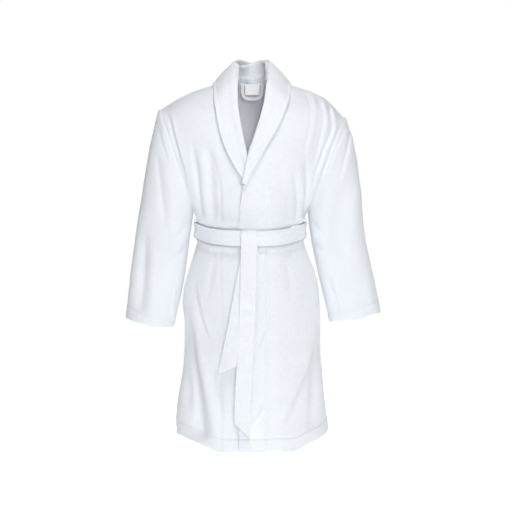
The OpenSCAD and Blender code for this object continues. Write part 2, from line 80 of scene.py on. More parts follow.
WIDTHS = ((-ARMPIT_Z, CHEST / 2), (-WAIST_Z, WAIST / 2), (-HIP_Z, HIP / 2),
          (-THIGH_Z, HIP / 2 + 0.3 * (HEM - HIP) / 2), (ROBE_LEN, HEM / 2))
FRONTS = ((0, NECK_FRONT), (-TIP_Z, 88), (-CHEST_Z, 110), (-ARMPIT_Z, 109), (-WAIST_Z, 108),
          (-HIP_Z, 128), (-THIGH_Z, 128 + 0.57 * 42), (ROBE_LEN, 170))
BACKS = ((0, NECK_BACK), (-TIP_Z, 104), (-CHEST_Z, 118), (-ARMPIT_Z, 105), (-WAIST_Z, 92),
         (-HIP_Z, 122), (-THIGH_Z, 122 + 0.57 * 28), (ROBE_LEN, 150))
LAP = 2 * GAP + CLOTH + FACING
LAPEL_LAP = COLLAR + GAP
LAP_FROM, LAP_TO = 42, 72
LAPEL_LAP_Z, LAPEL_LAP_H = -(CROSS_DROP + LAPEL_DROP) / 2, 110


def ease(t):
    u = np.clip(t, 0, 1)
    return u * u * (3 - 2 * u)


def curve(tab, x):
    """A smooth curve through a table of (drop, value)."""
    xs, ys = np.array(tab, float).T
    last = len(xs) - 1
    n = np.arange(last + 1)
    after, before = np.minimum(n + 1, last), np.maximum(n - 1, 0)
    slope = (ys[after] - ys[before]) / (xs[after] - xs[before])
    i = np.clip(np.searchsorted(xs, x, side="left") - 1, 0, last - 1)
    h = xs[i + 1] - xs[i]
    u = (x - xs[i]) / h
    return ((2 * u**3 - 3 * u**2 + 1) * ys[i] + (u**3 - 2 * u**2 + u) * h * slope[i]
            + (3 * u**2 - 2 * u**3) * ys[i + 1] + (u**3 - u**2) * h * slope[i + 1])


def cosd(a):
    return np.cos(np.radians(a))


def sind(a):
    return np.sin(np.radians(a))


def in_armhole(z):
    return (z > ARMPIT_Z) & (z < TIP_Z)


def arm_share(z):
    return (z - ARMPIT_Z) / (TIP_Z - ARMPIT_Z)


def arm_x(z):
    return CHEST / 2 + (SHOULDER - CHEST) / 2 * arm_share(z)


def arm_y(z):
    s = arm_share(z)
    return ARMHOLE_D * np.sqrt(np.maximum(0, s * (1 - s)))


def depth(front, z):
    return np.where(front, curve(FRONTS, -z), curve(BACKS, -z))


def half_w(front, z):
    z = np.asarray(z, float)
    shoulder = NECK_W / 2 + (SHOULDER - NECK_W) / 2 * z / TIP_Z
    arm = arm_x(z) / np.sqrt(1 - np.minimum(0.9, arm_y(z) / depth(front, z)) ** 2)
    return np.where(z >= TIP_Z, shoulder, np.where(z > ARMPIT_Z, arm, curve(WIDTHS, -z)))


def lift(side, front, a, z):
    """How far the front that lies on top stands off the one under it."""
    over_lapel = LAPEL_LAP * ease(2 - 2 * np.abs(z - LAPEL_LAP_Z) / LAPEL_LAP_H)
    rise = ease((np.abs(a) - LAP_FROM) / (LAP_TO - LAP_FROM)) * (LAP + over_lapel)
    return np.where(front, rise, 0) if side == LEFT else 0.0


def body(side, a, z):
    """Points on the robe's outside: a is 0 at the side, -90 in front and 90 behind, in degrees."""
    a, z = np.broadcast_arrays(np.asarray(a, float), np.asarray(z, float))
    front = a < 0
    rise = NECK_RISE * np.maximum(0, 1 - z / TIP_Z) * cosd(a) ** 2
    return np.stack([half_w(front, z) * cosd(a), (depth(front, z) + lift(side, front, a, z)) * sind(a), z + rise], -1)


def unit(v):
    return v / np.maximum(1e-9, np.linalg.norm(v, axis=-1, keepdims=True))


def body_off(side, a, z, off):
    a, z = np.asarray(a, float), np.asarray(z, float)
    n = unit(np.cross(body(side, a + 0.5, z) - body(side, a - 0.5, z), body(side, a, z + 1) - body(side, a, z - 1)))
    return body(side, a, z) + np.asarray(off)[..., None] * n


def arm_angle(front, z):
    return np.where(in_armhole(z), np.degrees(np.arcsin(np.clip(arm_y(z) / depth(front, z), 0, 1))), 0)


def shift(z):
    return CROSS_SHIFT * np.minimum(1, -z / CROSS_DROP)


def inner_x(side, z):
    """The front edge's distance from the centre line."""
    z = np.asarray(z, float)
    above = FOLD_W / 2 * np.maximum(0, cosd(np.minimum(90, 90 * -z / CROSS_DROP))) ** 1.2 + side * shift(z)
    edge = -LEFT_OVERLAP if side == LEFT else RIGHT_SHORT
    s = sind(90 * np.clip((-z - CROSS_DROP) / (-WAIST_Z - CROSS_DROP), 0, 1))
    return np.where(z > -CROSS_DROP, above, side * CROSS_SHIFT + (edge - side * CROSS_SHIFT) * s)


def angle_of(x, z):
    return np.degrees(np.arccos(np.clip(x / half_w(True, z), -1, 0.985)))


def inner_angle(side, z):
    return angle_of(inner_x(side, z), z)


def facing_angle(side, z):
    seam = angle_of(inner_x(side, z) + FACING_W, z)
    top = (arm_angle(True, z) + inner_angle(side, z)) / 2
    return seam + (top - seam) * ease((z - CHEST_Z + 60) / 120)


# ---- Folds: soft ridges and furrows along given lines, seen from the front or from behind ----
def fold_line(path, x, z):
    """Signed distance from a smooth line through path, and the share of the way along it."""
    p = np.array(path, float)
    if len(p) > 2:
        ends = np.vstack([2 * p[0] - p[1], p, 2 * p[-1] - p[-2]])
        t = np.linspace(0, 1, 7)[:-1, None]
        parts = [0.5 * (2 * b + (c - a) * t + (2 * a - 5 * b + 4 * c - d) * t**2 + (3 * b - a - 3 * c + d) * t**3)
                 for a, b, c, d in zip(ends, ends[1:], ends[2:], ends[3:])]
        p = np.vstack(parts + [p[-1:]])
    steps = np.linalg.norm(np.diff(p, axis=0), axis=1)
    run = np.concatenate([[0], np.cumsum(steps)])
    best, share = np.full(np.shape(x), 1e9), np.zeros(np.shape(x))
    for k, (q, d, n) in enumerate(zip(p, np.diff(p, axis=0), steps)):
        t = np.clip(((x - q[0]) * d[0] + (z - q[1]) * d[1]) / n**2, 0, 1)
        off_x, off_z = x - q[0] - t * d[0], z - q[1] - t * d[1]
        dist = np.hypot(off_x, off_z) * np.where(d[0] * off_z - d[1] * off_x < 0, -1, 1)
        near = np.abs(dist) < np.abs(best)
        best = np.where(near, dist, best)
        share = np.where(near, (run[k] + t * n) / run[-1], share)
    return best, share


def relief(folds, x, z):
    """Height of all the folds at each point. A fold is (kind, width, height, where it is full, path)."""
    total = np.zeros(np.shape(x))
    for kind, width, height, (first, last), path in folds:
        d, share = fold_line(path, x, z)
        whole = np.ones_like(share)
        fade = ease(share / first if first else whole) * ease((1 - share) / last if last else whole)
        s = d / width
        shape = np.exp(-s * s) if kind == "ridge" else np.tanh(2.5 * s) * np.exp(-0.5 * s * s)
        total += height * fade * shape
    return total


FRONT_FOLDS = (
    # the hollows between the chest and the arm, on the wearer's right
    ("ridge", 15, -9, (0.35, 0.15), ((-130, -150), (-121, -240), (-115, -330), (-108, -412))),
    ("ridge", 8, -6, (0.35, 0.15), ((-176, -150), (-162, -240), (-152, -330), (-144, -412))),
    ("ridge", 9, 1.5, (0.3, 0.15), ((-152, -170), (-141, -250), (-133, -340), (-126, -412))),
    ("ridge", 5, -2.2, (0.4, 0.1), ((-92, -270), (-90, -330), (-86, -412))),
    ("lap", 9, 4, (0.2, 0.4), ((-240, -84), (-222, -160), (-196, -250), (-184, -320))),
    # and on the wearer's left
    ("ridge", 7, -5.5, (0.3, 0.1), ((150, -190), (160, -290), (158, -412))),
    ("ridge", 8, -4.5, (0.3, 0.1), ((118, -250), (134, -330), (134, -412))),
    ("ridge", 8, 1.5, (0.3, 0.2), ((134, -215), (147, -310), (146, -410))),
    # drag lines from the wearer's left shoulder tip
    ("lap", 8, 4.5, (0.1, 0.4), ((196, -50), (210, -110), (196, -180), (172, -260))),
    ("lap", 7, 6, (0.1, 0.4), ((226, -62), (236, -130), (212, -195), (195, -243), (170, -330))),
    ("lap", 7, 5, (0.1, 0.4), ((160, -30), (176, -90), (164, -160), (146, -240))),
    # soft folds from the lapel down to the belt
    ("ridge", 7, -2, (0.3, 0.2), ((58, -215), (46, -300), (18, -408))),
    ("ridge", 10, 2.5, (0.3, 0.2), ((72, -240), (60, -310), (38, -408))),
    # below the belt, on the wearer's right
    ("ridge", 30, 9, (0.2, 0.1), ((-212, -500), (-210, -700), (-220, -900), (-236, -1060))),
    ("ridge", 25, -20, (0.3, 0.1), ((-204, -640), (-190, -790), (-170, -920), (-150, -1060))),
    ("ridge", 15, 7, (0.2, 0.15), ((-180, -600), (-156, -786), (-120, -949), (-94, -1040))),
    ("ridge", 7, -4, (0.3, 0.3), ((-214, -820), (-196, -900), (-196, -1000))),
    ("ridge", 7, 4, (0.3, 0.3), ((-196, -800), (-182, -900), (-176, -1020))),
    ("lap", 9, 4, (0.3, 0.3), ((-166, -560), (-150, -660), (-118, -760))),
    ("ridge", 12, -4, (0.3, 0.4), ((-130, -800), (-104, -900), (-78, -990))),
    # and on the wearer's left
    ("lap", 26, -9, (0.3, 0.25), ((200, -700), (176, -800), (138, -890), (72, -1010))),
    ("ridge", 14, -7, (0.3, 0.15), ((200, -745), (186, -880), (172, -1040))),
    ("ridge", 10, 5, (0.4, 0.3), ((214, -760), (206, -880), (204, -1020))),
    ("lap", 7, 4, (0.4, 0.4), ((56, -660), (34, -720), (6, -782))),
    ("lap", 6, 3, (0.4, 0.4), ((34, -910), (18, -950), (-2, -982))),
    ("ridge", 10, -3, (0.2, 0.5), ((96, -500), (110, -560), (112, -650))),
    ("ridge", 8, -2.6, (0.2, 0.5), ((-104, -500), (-122, -570), (-132, -650))),
)
BACK_FOLDS = (
    ("ridge", 18, -7, (0.3, 0.1), ((-150, -180), (-132, -300), (-112, -410))),
    ("ridge", 16, -7, (0.3, 0.1), ((156, -190), (128, -310), (104, -410))),
    ("ridge", 14, 5, (0.4, 0.1), ((-96, -250), (-84, -330), (-76, -410))),
    ("ridge", 13, 5, (0.4, 0.1), ((92, -240), (74, -330), (62, -410))),
    ("ridge", 9, -4, (0.4, 0.1), ((-20, -300), (-26, -360), (-24, -410))),
    ("ridge", 10, 4, (0.4, 0.1), ((18, -290), (14, -350), (12, -410))),
    ("lap", 8, 3, (0.3, 0.5), ((-225, -95), (-190, -180), (-160, -260))),
    ("lap", 8, 3, (0.3, 0.5), ((232, -100), (196, -190), (170, -260))),
    ("ridge", 20, 7, (0.1, 0.0), ((-70, -470), (-92, -700), (-118, -1063))),
    ("ridge", 18, -7, (0.1, 0.0), ((-30, -470), (-44, -700), (-52, -1063))),
    ("ridge", 22, 8, (0.1, 0.0), ((10, -470), (8, -720), (16, -1063))),
    ("ridge", 18, -7, (0.1, 0.0), ((48, -470), (62, -720), (80, -1063))),
    ("ridge", 20, 7, (0.1, 0.0), ((86, -470), (116, -720), (142, -1063))),
    ("ridge", 16, -6, (0.2, 0.0), ((-112, -480), (-146, -720), (-176, -1063))),
    ("ridge", 16, -6, (0.2, 0.0), ((122, -480), (166, -720), (196, -1063))),
)
SLEEVE_FOLDS = {
    LEFT: (
        ("lap", 8, 6.5, (0.15, 0.35), ((264, -92), (264, -135), (240, -200), (206, -300))),
        ("lap", 8, 5, (0.1, 0.4), ((284, -130), (278, -200), (256, -300))),
        ("ridge", 9, 4, (0.2, 0.4), ((276, -110), (272, -170), (240, -260))),
        ("ridge", 26, -8, (0.3, 0.3), ((290, -240), (268, -360), (262, -460), (280, -600))),
        ("ridge", 22, 5, (0.3, 0.3), ((322, -260), (312, -400), (318, -560))),
        ("ridge", 7, -3, (0.1, 0.5), ((180, -400), (205, -430), (250, -450))),
        ("ridge", 7, -3, (0.1, 0.5), ((188, -470), (215, -490), (262, -492))),
        ("ridge", 10, 3, (0.1, 0.5), ((184, -436), (212, -462), (258, -470))),
        ("ridge", 9, -3.5, (0.2, 0.3), ((232, -560), (246, -630), (262, -700))),
        ("ridge", 14, 3, (0.3, 0.2), ((340, -560), (350, -630), (352, -690))),
    ),
    RIGHT: (
        ("ridge", 9, -4, (0.2, 0.3), ((-276, -190), (-268, -300), (-256, -440))),
        ("ridge", 16, 4, (0.3, 0.3), ((-250, -180), (-240, -300), (-228, -420))),
        ("ridge", 16, -8, (0.3, 0.2), ((-318, -400), (-326, -560), (-334, -680))),
        ("ridge", 18, 5, (0.3, 0.2), ((-292, -470), (-294, -590), (-298, -700))),
        ("lap", 7, 4.5, (0.2, 0.3), ((-236, -585), (-246, -640), (-238, -700))),
        ("ridge", 7, -3.5, (0.1, 0.5), ((-184, -405), (-212, -440), (-256, -458))),
        ("ridge", 8, -3, (0.1, 0.5), ((-196, -480), (-224, -510), (-266, -520))),
        ("ridge", 9, 3, (0.1, 0.5), ((-190, -444), (-216, -476), (-262, -488))),
        ("lap", 8, 3, (0.2, 0.5), ((-268, -96), (-256, -170), (-232, -250))),
    ),
}
SLEEVE_BACK_FOLDS = (
    ("ridge", 16, -6, (0.2, 0.3), ((250, -180), (240, -300), (262, -430))),
    ("ridge", 18, 5, (0.3, 0.3), ((290, -220), (286, -380), (312, -540))),
    ("ridge", 8, -4, (0.1, 0.5), ((190, -420), (230, -446), (290, -440))),
    ("ridge", 8, -4, (0.1, 0.5), ((202, -490), (246, -510), (306, -496))),
    ("ridge", 9, 4, (0.1, 0.5), ((196, -456), (238, -478), (300, -468))),
    ("ridge", 12, -4, (0.3, 0.2), ((270, -560), (284, -640), (296, -700))),
)


def mottle(x, z, size, seed):
    """Smooth uneven height from -1 to 1, with bumps about size across."""
    grid = np.random.RandomState(seed).uniform(-1, 1, (64, 64))
    u, v = x / size + 31.3, z / size + 17.7
    i, j = np.floor(u).astype(int), np.floor(v).astype(int)
    s, t = ease(u - i), ease(v - j)
    at = lambda p, q: grid[p % 64, q % 64]
    return (at(i, j) * (1 - s) + at(i + 1, j) * s) * (1 - t) + (at(i, j + 1) * (1 - s) + at(i + 1, j + 1) * s) * t


# ---- Mesh making ----
def spread(stops):
    """Values from stops of (value, spacing): each stretch runs to the next stop in steps of about its spacing."""
    out = [stops[0][0]]
    for (a, step), (b, _) in zip(stops, stops[1:]):
        n = max(1, round(abs(b - a) / step))
        out += [a + (b - a) * k / n for k in range(1, n + 1)]
    return np.array(out)


def normals(g, closed=False):
    if closed:
        du = np.roll(g, -1, 1) - np.roll(g, 1, 1)
    else:
        du = np.gradient(g, axis=1)
    return unit(np.cross(du, np.gradient(g, axis=0)))


def runs(g, axis):
    step = np.linalg.norm(np.diff(g, axis=axis), axis=-1)
    zero = np.zeros((1, g.shape[1])) if axis == 0 else np.zeros((g.shape[0], 1))
    return np.concatenate([zero, np.cumsum(step, axis=axis)], axis)


def hung(p):
    """How the robe hangs: bowed shoulders, the wearer's left one a little lower, and a hem that rises at the sides."""
    x, y, z = p[..., 0], p[..., 1], p[..., 2]
    on_top = ease((z + 190) / 110) * ease((NECK_W / 2 + 90 - z) / 60)
    bow = np.sin(math.pi * np.clip((np.abs(x) - 112) / 160, 0, 1)) * 9
    drop = ease((x - 205) / 75) * 23
    side_hem = 20 * ease((np.abs(x) - 110) / 130) * ease((-z - 860) / 190)
    hem_wave = (3.5 * np.sin(x / 34 + 0.6) + 2.5 * np.sin(x / 17 + y / 60)) * ease((-z - 960) / 100)
    arm = ease((np.abs(x) - 215) / 40) * ease((-z - 560) / 120)
    cuff = arm * (np.where(x > 0, 12, -8) + 2.5 * np.sin(x / 16 + y / 24))
    rise = on_top * (bow - drop) + (1 - arm) * (side_hem + hem_wave) + cuff
    elbow = -10 * np.exp(-(((z + 440) / 170) ** 2)) * ease((np.abs(x) - 190) / 60) * np.sign(x)
    sway = -6 * np.exp(-(((z + 440) / 120) ** 2)) * ease((np.abs(x) - 60) / 60)
    return np.stack([x + elbow + sway, y, z + rise], -1)


def place(g, side=LEFT):
    """From the pattern's side view to the robe's frame, in metres."""
    return (hung(g * np.array([side, 1, 1])) + np.array([0, -NECK_BACK, 0])) * MM


def link(name, mesh):
    obj = bpy.data.objects.new(name, mesh)
    bpy.context.scene.collection.objects.link(obj)
    return obj


def bake(obj):
    """Turns an object's modifiers into its mesh."""
    graph = bpy.context.evaluated_depsgraph_get()
    mesh = bpy.data.meshes.new_from_object(obj.evaluated_get(graph))
    obj.modifiers.clear()
    obj.data = mesh
    return obj


def sheet_mesh(name, g, flip=False, closed=False):
    """A sheet through a grid of points in metres, with a UV map in metres along the weave."""
    rows, cols = g.shape[:2]
    wide = cols if closed else cols - 1
    across, up = runs(g, 1), runs(g, 0)
    if closed:
        around = across[:, -1] + np.linalg.norm(g[:, 0] - g[:, -1], axis=-1)
    quads, uvs = [], []
    for r in range(rows - 1):
        for c in range(wide):
            d = (c + 1) % cols
            quad = [(r, c), (r, d), (r + 1, d), (r + 1, c)]
            if flip:
                quad.reverse()
            quads.append([p * cols + q for p, q in quad])
            uvs += [(around[p] if closed and q == 0 and c == cols - 1 else across[p, q], up[p, q]) for p, q in quad]
    mesh = bpy.data.meshes.new(name)
    mesh.from_pydata(g.reshape(-1, 3).tolist(), [], quads)
    mesh.uv_layers.new(name="weave").data.foreach_set("uv", np.array(uvs, np.float32).ravel())
    mesh.polygons.foreach_set("use_smooth", [True] * len(quads))
    mesh.update()
    return mesh


def cloth(name, g, thick, material, flip=False, closed=False, offset=-1, bevel=0.45):
    """A sheet with real thickness and rounded edges. thick is in mm."""
    obj = link(name, sheet_mesh(name, g, flip, closed))
    obj.data.materials.append(material)
    solid = obj.modifiers.new("thickness", "SOLIDIFY")
    solid.thickness = thick * MM
    solid.offset = offset
    solid.use_even_offset = False
    rounded = obj.modifiers.new("edge", "BEVEL")
    rounded.width = bevel * thick * MM
    rounded.segments = 3
    rounded.limit_method = "ANGLE"
    rounded.angle_limit = math.radians(62)
    bake(obj)
    obj.data.polygons.foreach_set("use_smooth", [True] * len(obj.data.polygons))
    return obj


def line_mesh(name, lines):
    """Loose edges along lines of points in metres."""
    verts, edges = [], []
    for line in lines:
        first = len(verts)
        verts += [tuple(p) for p in line]
        edges += [(first + k, first + k + 1) for k in range(len(line) - 1)]
    mesh = bpy.data.meshes.new(name)
    mesh.from_pydata(verts, edges, [])
    return mesh


# ---- The body's sheets ----
HEM_LINE = HEM_Z + HEM_H
BODY_Z = spread(((HEM_Z, 1.5), (HEM_Z + 6, 6), (HEM_LINE - 8, 1.6), (HEM_LINE + 8, 6), (WAIST_Z - 70, 4),
                 (WAIST_Z + 60, 5), (ARMPIT_Z + 40, 6), (TIP_Z - 40, 4), (TIP_Z, 4), (0, 1)))
SIDE_COLS, EDGE_COLS, BACK_COLS = 44, 26, 96


def front_angles(side, z):
    first, seam, last = arm_angle(True, z), facing_angle(side, z), inner_angle(side, z)
    a = first[:, None] + (seam - first)[:, None] * np.linspace(0, 1, SIDE_COLS + 1)
    b = seam[:, None] + (last - seam)[:, None] * np.linspace(0, 1, EDGE_COLS + 1)[1:]
    return -np.concatenate([a, b], 1)


def back_angles(z):
    first = arm_angle(False, z)[:, None]
    return first + (180 - 2 * first) * np.linspace(0, 1, BACK_COLS + 1)


def belt_z(a):
    return WAIST_Z - BELT_DIP * ease((-sind(a) - 0.1) / 0.9)


def collar_reach(side, z):
    """Half width covered by the collar at each height."""
    t = np.linspace(0, 1, 60)
    edge = [lapel_edge(side, s) for s in t]
    return np.interp(-z, [-e[1] for e in edge], [e[0] for e in edge], left=COLLAR_SPAN / 2, right=-60)


def hem_profile(up, band):
    """The turned hem stands a little proud, and its stitching pulls in."""
    return 1.1 * ease((band - up) / 3 + 0.5) - 0.9 * np.exp(-(((up - band) / 2.4) ** 2))


def body_relief(side, folds, a, z, base):
    x = base[..., 0] * side
    run = runs(base, 1)
    edge = run if folds is FRONT_FOLDS else np.minimum(run, run[:, -1:] - run)
    h = relief(folds, x, z) + 0.5 * mottle(x, z, 26, 3) + 0.35 * mottle(x, z, 11, 5)
    if folds is FRONT_FOLDS:
        h *= ease((x * side - collar_reach(side, z)) / 26)
    h *= ease(edge / 22) * ease(-z / 24)
    from_belt = np.abs(z - belt_z(a))
    h = np.where(h > 0, h * ease((from_belt - 21) / 16), h * (0.2 + 0.8 * ease((from_belt - 21) / 12)))
    # the belt draws the cloth in, so it swells beside the belt's edges, most where the upper front's edge isn't
    over = ease((-sind(a) - sind(LAP_FROM) + 0.25) / 0.5) * ease((-x - 50) / 24) if side == RIGHT else 0
    swell = np.where(z > belt_z(a), 8, 5.5) * (1 + 0.85 * over)
    h += swell * np.exp(-(((from_belt - 30) / 10) ** 2)) * ease(edge / 40)
    if folds is FRONT_FOLDS and a.shape[1] > SIDE_COLS:
        h -= 1.6 * np.exp(-(((run - run[:, SIDE_COLS:SIDE_COLS + 1] - 4) / 4.5) ** 2)) * ease((CHEST_Z + 60 - z) / 60)
    h -= 1.1 * np.exp(-((edge / 3) ** 2))
    return h + hem_profile(z - HEM_Z, HEM_H)


def relaxed(g):
    """The sheet with the corners at the shoulder tips' and the armpits' heights eased, away from its seams."""
    z = BODY_Z[:, None]
    there = ease(1.6 - np.abs(z - TIP_Z) / 34) + ease(1.6 - np.abs(z - ARMPIT_Z) / 30)
    run = runs(g, 1)
    weight = (there * ease(np.minimum(run, run[:, -1:] - run) / 22))[1:-1, :, None]
    for _ in range(36):
        g[1:-1] += weight * 0.5 * ((g[:-2] + g[2:]) / 2 - g[1:-1])
    return g


def body_sheet(side, folds, angles):
    z = BODY_Z[:, None] + 0 * angles
    base = relaxed(body_off(side, angles, z, 0 * z))
    n = -normals(base) if folds is FRONT_FOLDS else normals(base)
    return base + body_relief(side, folds, angles, z, base)[..., None] * n


def front_sheet(side):
    return body_sheet(side, FRONT_FOLDS, front_angles(side, BODY_Z))


def back_sheet():
    return body_sheet(LEFT, BACK_FOLDS, back_angles(BODY_Z))


def facing_sheet(side):
    """The inside facing, from the seam to the front edge, under the front."""
    z = BODY_Z[(BODY_Z > HEM_Z + 4) & (BODY_Z < -30)]
    angles = front_angles(side, z)[:, SIDE_COLS:]
    zz = z[:, None] + 0 * angles
    h = body_relief(side, FRONT_FOLDS, angles, zz, body_off(side, angles, zz, 0 * zz))
    return body_off(side, angles, zz, np.minimum(h, 0.3) - CLOTH - GAP)


# ---- Sleeves ----
CUFF_OUT, CUFF_DROP, CUFF_W, CUFF_D, CUFF_TILT, BOW = 380, 690, 140, 100, 25, 22
TIP = np.array([SHOULDER / 2, TIP_Z])
ARMPIT = np.array([CHEST / 2, ARMPIT_Z])
CUFF_OUTER = np.array([CUFF_OUT, -CUFF_DROP])
CUFF_INNER = np.array([CUFF_OUT - CUFF_W, -CUFF_DROP - CUFF_TILT])
OUTER_MID = (TIP + CUFF_OUTER) / 2 + np.array([BOW - CUFF_TILT / 2, BOW * 3])
INNER_MID = np.array([ARMPIT[0] + (CUFF_INNER[0] - ARMPIT[0]) * 0.24, (ARMPIT[1] + CUFF_INNER[1]) / 2 + BOW])
ARMHOLE_OUT = unit(np.array([TIP[1] - ARMPIT[1], ARMPIT[0] - TIP[0]]))
SLEEVE_RUN = float(np.linalg.norm(CUFF_OUTER - OUTER_MID)) * 2
SLEEVE_COLS = 112


def bend(a, b, c, t):
    return (1 - t) ** 2 * a + 2 * t * (1 - t) * b + t**2 * c


def sleeve_ring(t, off):
    """One ring of the sleeve. t is 0 at the armhole and 1 at the cuff, and a little below 0 inside the seam."""
    s = max(t, 0)
    out = ARMHOLE_OUT * (ARMHOLE_GAP * min(1, s * 60) + min(t, 0) * SLEEVE_RUN)
    o, i = bend(TIP, OUTER_MID, CUFF_OUTER, s) + out, bend(ARMPIT, INNER_MID, CUFF_INNER, s) + out
    mid, half = (o + i) / 2, (o - i) / 2
    fuller = 10 * math.sin(math.pi * min(1, s * 1.4)) * (1 - s)
    deep = ARMHOLE_D / 2 + (CUFF_D - ARMHOLE_D) / 2 * float(ease(s)) + fuller
    a = np.arange(SLEEVE_COLS) * 2 * math.pi / SLEEVE_COLS
    inset = -7 if t < -0.005 else 0
    r = half[:, None] * (1 + (off + inset) / np.linalg.norm(half))
    flat = 1 - 0.3 * float(ease(s / 0.25))
    side_on = np.sign(np.sin(a)) * np.abs(np.sin(a)) ** flat
    return np.stack([mid[0] + r[0] * np.cos(a), (deep + off + inset) * side_on, mid[1] + r[1] * np.cos(a)], -1)


CUFF_T = 1 - CUFF_H / SLEEVE_RUN
SLEEVE_T = np.concatenate([[-0.012, -0.006], spread(((0, 0.002), (0.012, 0.008), (CUFF_T - 0.012, 0.0022),
                                                      (CUFF_T + 0.012, 0.008), (0.99, 0.0025), (1, 1)))])


def sleeve_sheet(side):
    g = np.stack([sleeve_ring(t, 0.0 * np.zeros(SLEEVE_COLS)) for t in SLEEVE_T])
    a = np.arange(SLEEVE_COLS) * 2 * math.pi / SLEEVE_COLS
    x, z = g[..., 0], g[..., 2]
    front = relief(SLEEVE_FOLDS[side], x * side, z)
    behind = relief(SLEEVE_BACK_FOLDS, x, z)
    h = np.where(np.sin(a) < 0, front, behind) * ease(np.abs(np.sin(a)) / 0.3) + 0.5 * mottle(x * side, z, 24, 9)
    t = SLEEVE_T[:, None] + 0 * h
    h *= ease((t - 0.01) / 0.07)
    # the cuff's turned hem hangs a little unevenly
    wave = 3.5 * np.sin(2 * a + 0.7 * side) + 2.0 * np.sin(3 * a - 0.5)
    h += wave * ease((t - 0.8) / 0.2)
    up = (1 - t) * SLEEVE_RUN
    h += hem_profile(up, CUFF_H) * (t > 0.5) - 1.0 * np.exp(-((t / 0.006) ** 2))
    return np.stack([sleeve_ring(tt, row) for tt, row in zip(SLEEVE_T, h)])


# ---- Collar ----
FOLD_X, FOLD_Y = NECK_W / 3, NECK_BACK - 9
SIDE_FOLD_Z, SEAM_FOLD_Z = STAND_H - 5, NECK_RISE / 3
TURN_ANGLE, TURN_SHARE = 60, 0.18
EDGE_END_Z = -LAPEL_DROP - 2


def ridge_z(half):
    return TIP_Z * (half - NECK_W / 2) / (SHOULDER / 2 - NECK_W / 2)


EDGE_TOP_Z = ridge_z(COLLAR_SPAN / 2)
TURN_Z = ridge_z(COLLAR_SPAN / 2 / math.cos(math.radians(TURN_ANGLE)))


def lapel_edge(side, t):
    """Half width and height of the collar's outer edge."""
    z = (ridge_z(COLLAR_SPAN / 2 / math.cos(math.radians(TURN_ANGLE * t / TURN_SHARE))) if t < TURN_SHARE
         else TURN_Z + (EDGE_END_Z - TURN_Z) * (t - TURN_SHARE) / (1 - TURN_SHARE))
    end = float(inner_x(side, -LAPEL_DROP)) + 2
    s = (z - EDGE_TOP_Z) / (EDGE_END_Z - EDGE_TOP_Z)
    return end + (COLLAR_SPAN / 2 - end) * math.cos(math.pi / 2 * s) + side * float(shift(z)) * math.sin(math.pi * s), z


def back_fold(a):
    s = sind(a)
    return np.array([FOLD_X * cosd(a), FOLD_Y * s, SIDE_FOLD_Z + (STAND_H - SIDE_FOLD_Z) * s + FOLD_PEAK * sind(2 * a)])


def air_fold(side, t):
    end = body(side, -inner_angle(side, 0), 0)
    return np.array([FOLD_X + (end[0] - FOLD_X) * t, end[1] * t, SIDE_FOLD_Z + (SEAM_FOLD_Z - SIDE_FOLD_Z) * t])


def fold_at(side, t):
    z = SIDE_FOLD_Z + (-LAPEL_DROP - SIDE_FOLD_Z) * t
    if z > SEAM_FOLD_Z:
        s = (SIDE_FOLD_Z - z) / (SIDE_FOLD_Z - SEAM_FOLD_Z)
        return air_fold(side, s) + GAP * np.array([0.7071, -0.7071, 0]) * float(ease(s))
    z = min(0, z)
    return body_off(side, -inner_angle(side, z), z, GAP)


def on_body(side, x, z):
    return body_off(side, -np.degrees(np.arccos(min(1, x / half_w(True, z)))), z, GAP)


def across(p, q, v, bulge):
    m = p + (q - p) * v
    return m + bulge * 4 * v * (1 - v) * unit(np.array([m[0], m[1], 30.0]))


def over_front(side, m):
    if m[2] >= 0 or m[0] >= half_w(True, m[2]):
        return m
    on = on_body(side, m[0], m[2])
    return on if on[1] < m[1] else m


COLLAR_V = spread(((0, 0.02), (0.06, 0.06), (0.78, 0.02), (1, 1)))


def collar_under(side):
    rows = []
    for a in np.linspace(90, 0, 34):
        q = body_off(LEFT, a, EDGE_TOP_Z + (-COLLAR_COVER - EDGE_TOP_Z) * sind(a), GAP)
        rows.append([across(back_fold(a), q, v, 3) for v in COLLAR_V])
    for t in np.concatenate([np.linspace(0, TURN_SHARE, 15)[1:], np.linspace(TURN_SHARE, 0.985, 66)[1:]]):
        x, z = lapel_edge(side, t)
        p, q = fold_at(side, t), on_body(side, x, z)
        w = float(ease((LAPEL_DROP + SIDE_FOLD_Z) * t / 60 - SIDE_FOLD_Z / 60))
        rows.append([over_front(side, across(p, q, v, 3 * (1 - w))) for v in COLLAR_V])
    return np.array(rows)


def collar_top(side):
    """The collar's upper face: rolled at the fold, softly uneven, pulled in along the stitching near its edge."""
    under = collar_under(side)
    n = -normals(under)
    n[0] = unit(n[0] * np.array([0, 1, 1]))
    v = COLLAR_V[None, :]
    along = runs(under, 0)
    h = COLLAR + 2.6 * np.exp(-(((v - 0.16) / 0.13) ** 2)) + 0.9 * mottle(v * 90, along, 30, 21 + side)
    h = h - 1.0 * np.exp(-(((v - 0.86) / 0.022) ** 2)) + 0.5 * ease((v - 0.86) / 0.03)
    h[0] = h[0] * 0 + h[1]
    g = under + h[..., None] * n
    # the neck draws in a little at the top, and the outer edge lies down on the shoulder
    high = ease((g[..., 2] - 14) / 44)
    on_shoulder = np.exp(-(((g[..., 0] - COLLAR_SPAN / 2) / 20) ** 2)) * ease((g[..., 2] + 70) / 60)
    lower = (5 * high + 10 * on_shoulder)[..., None] * np.array([0, 0, 1])
    return g * (1 - high[..., None] * np.array([0.09, 0, 0])) - lower


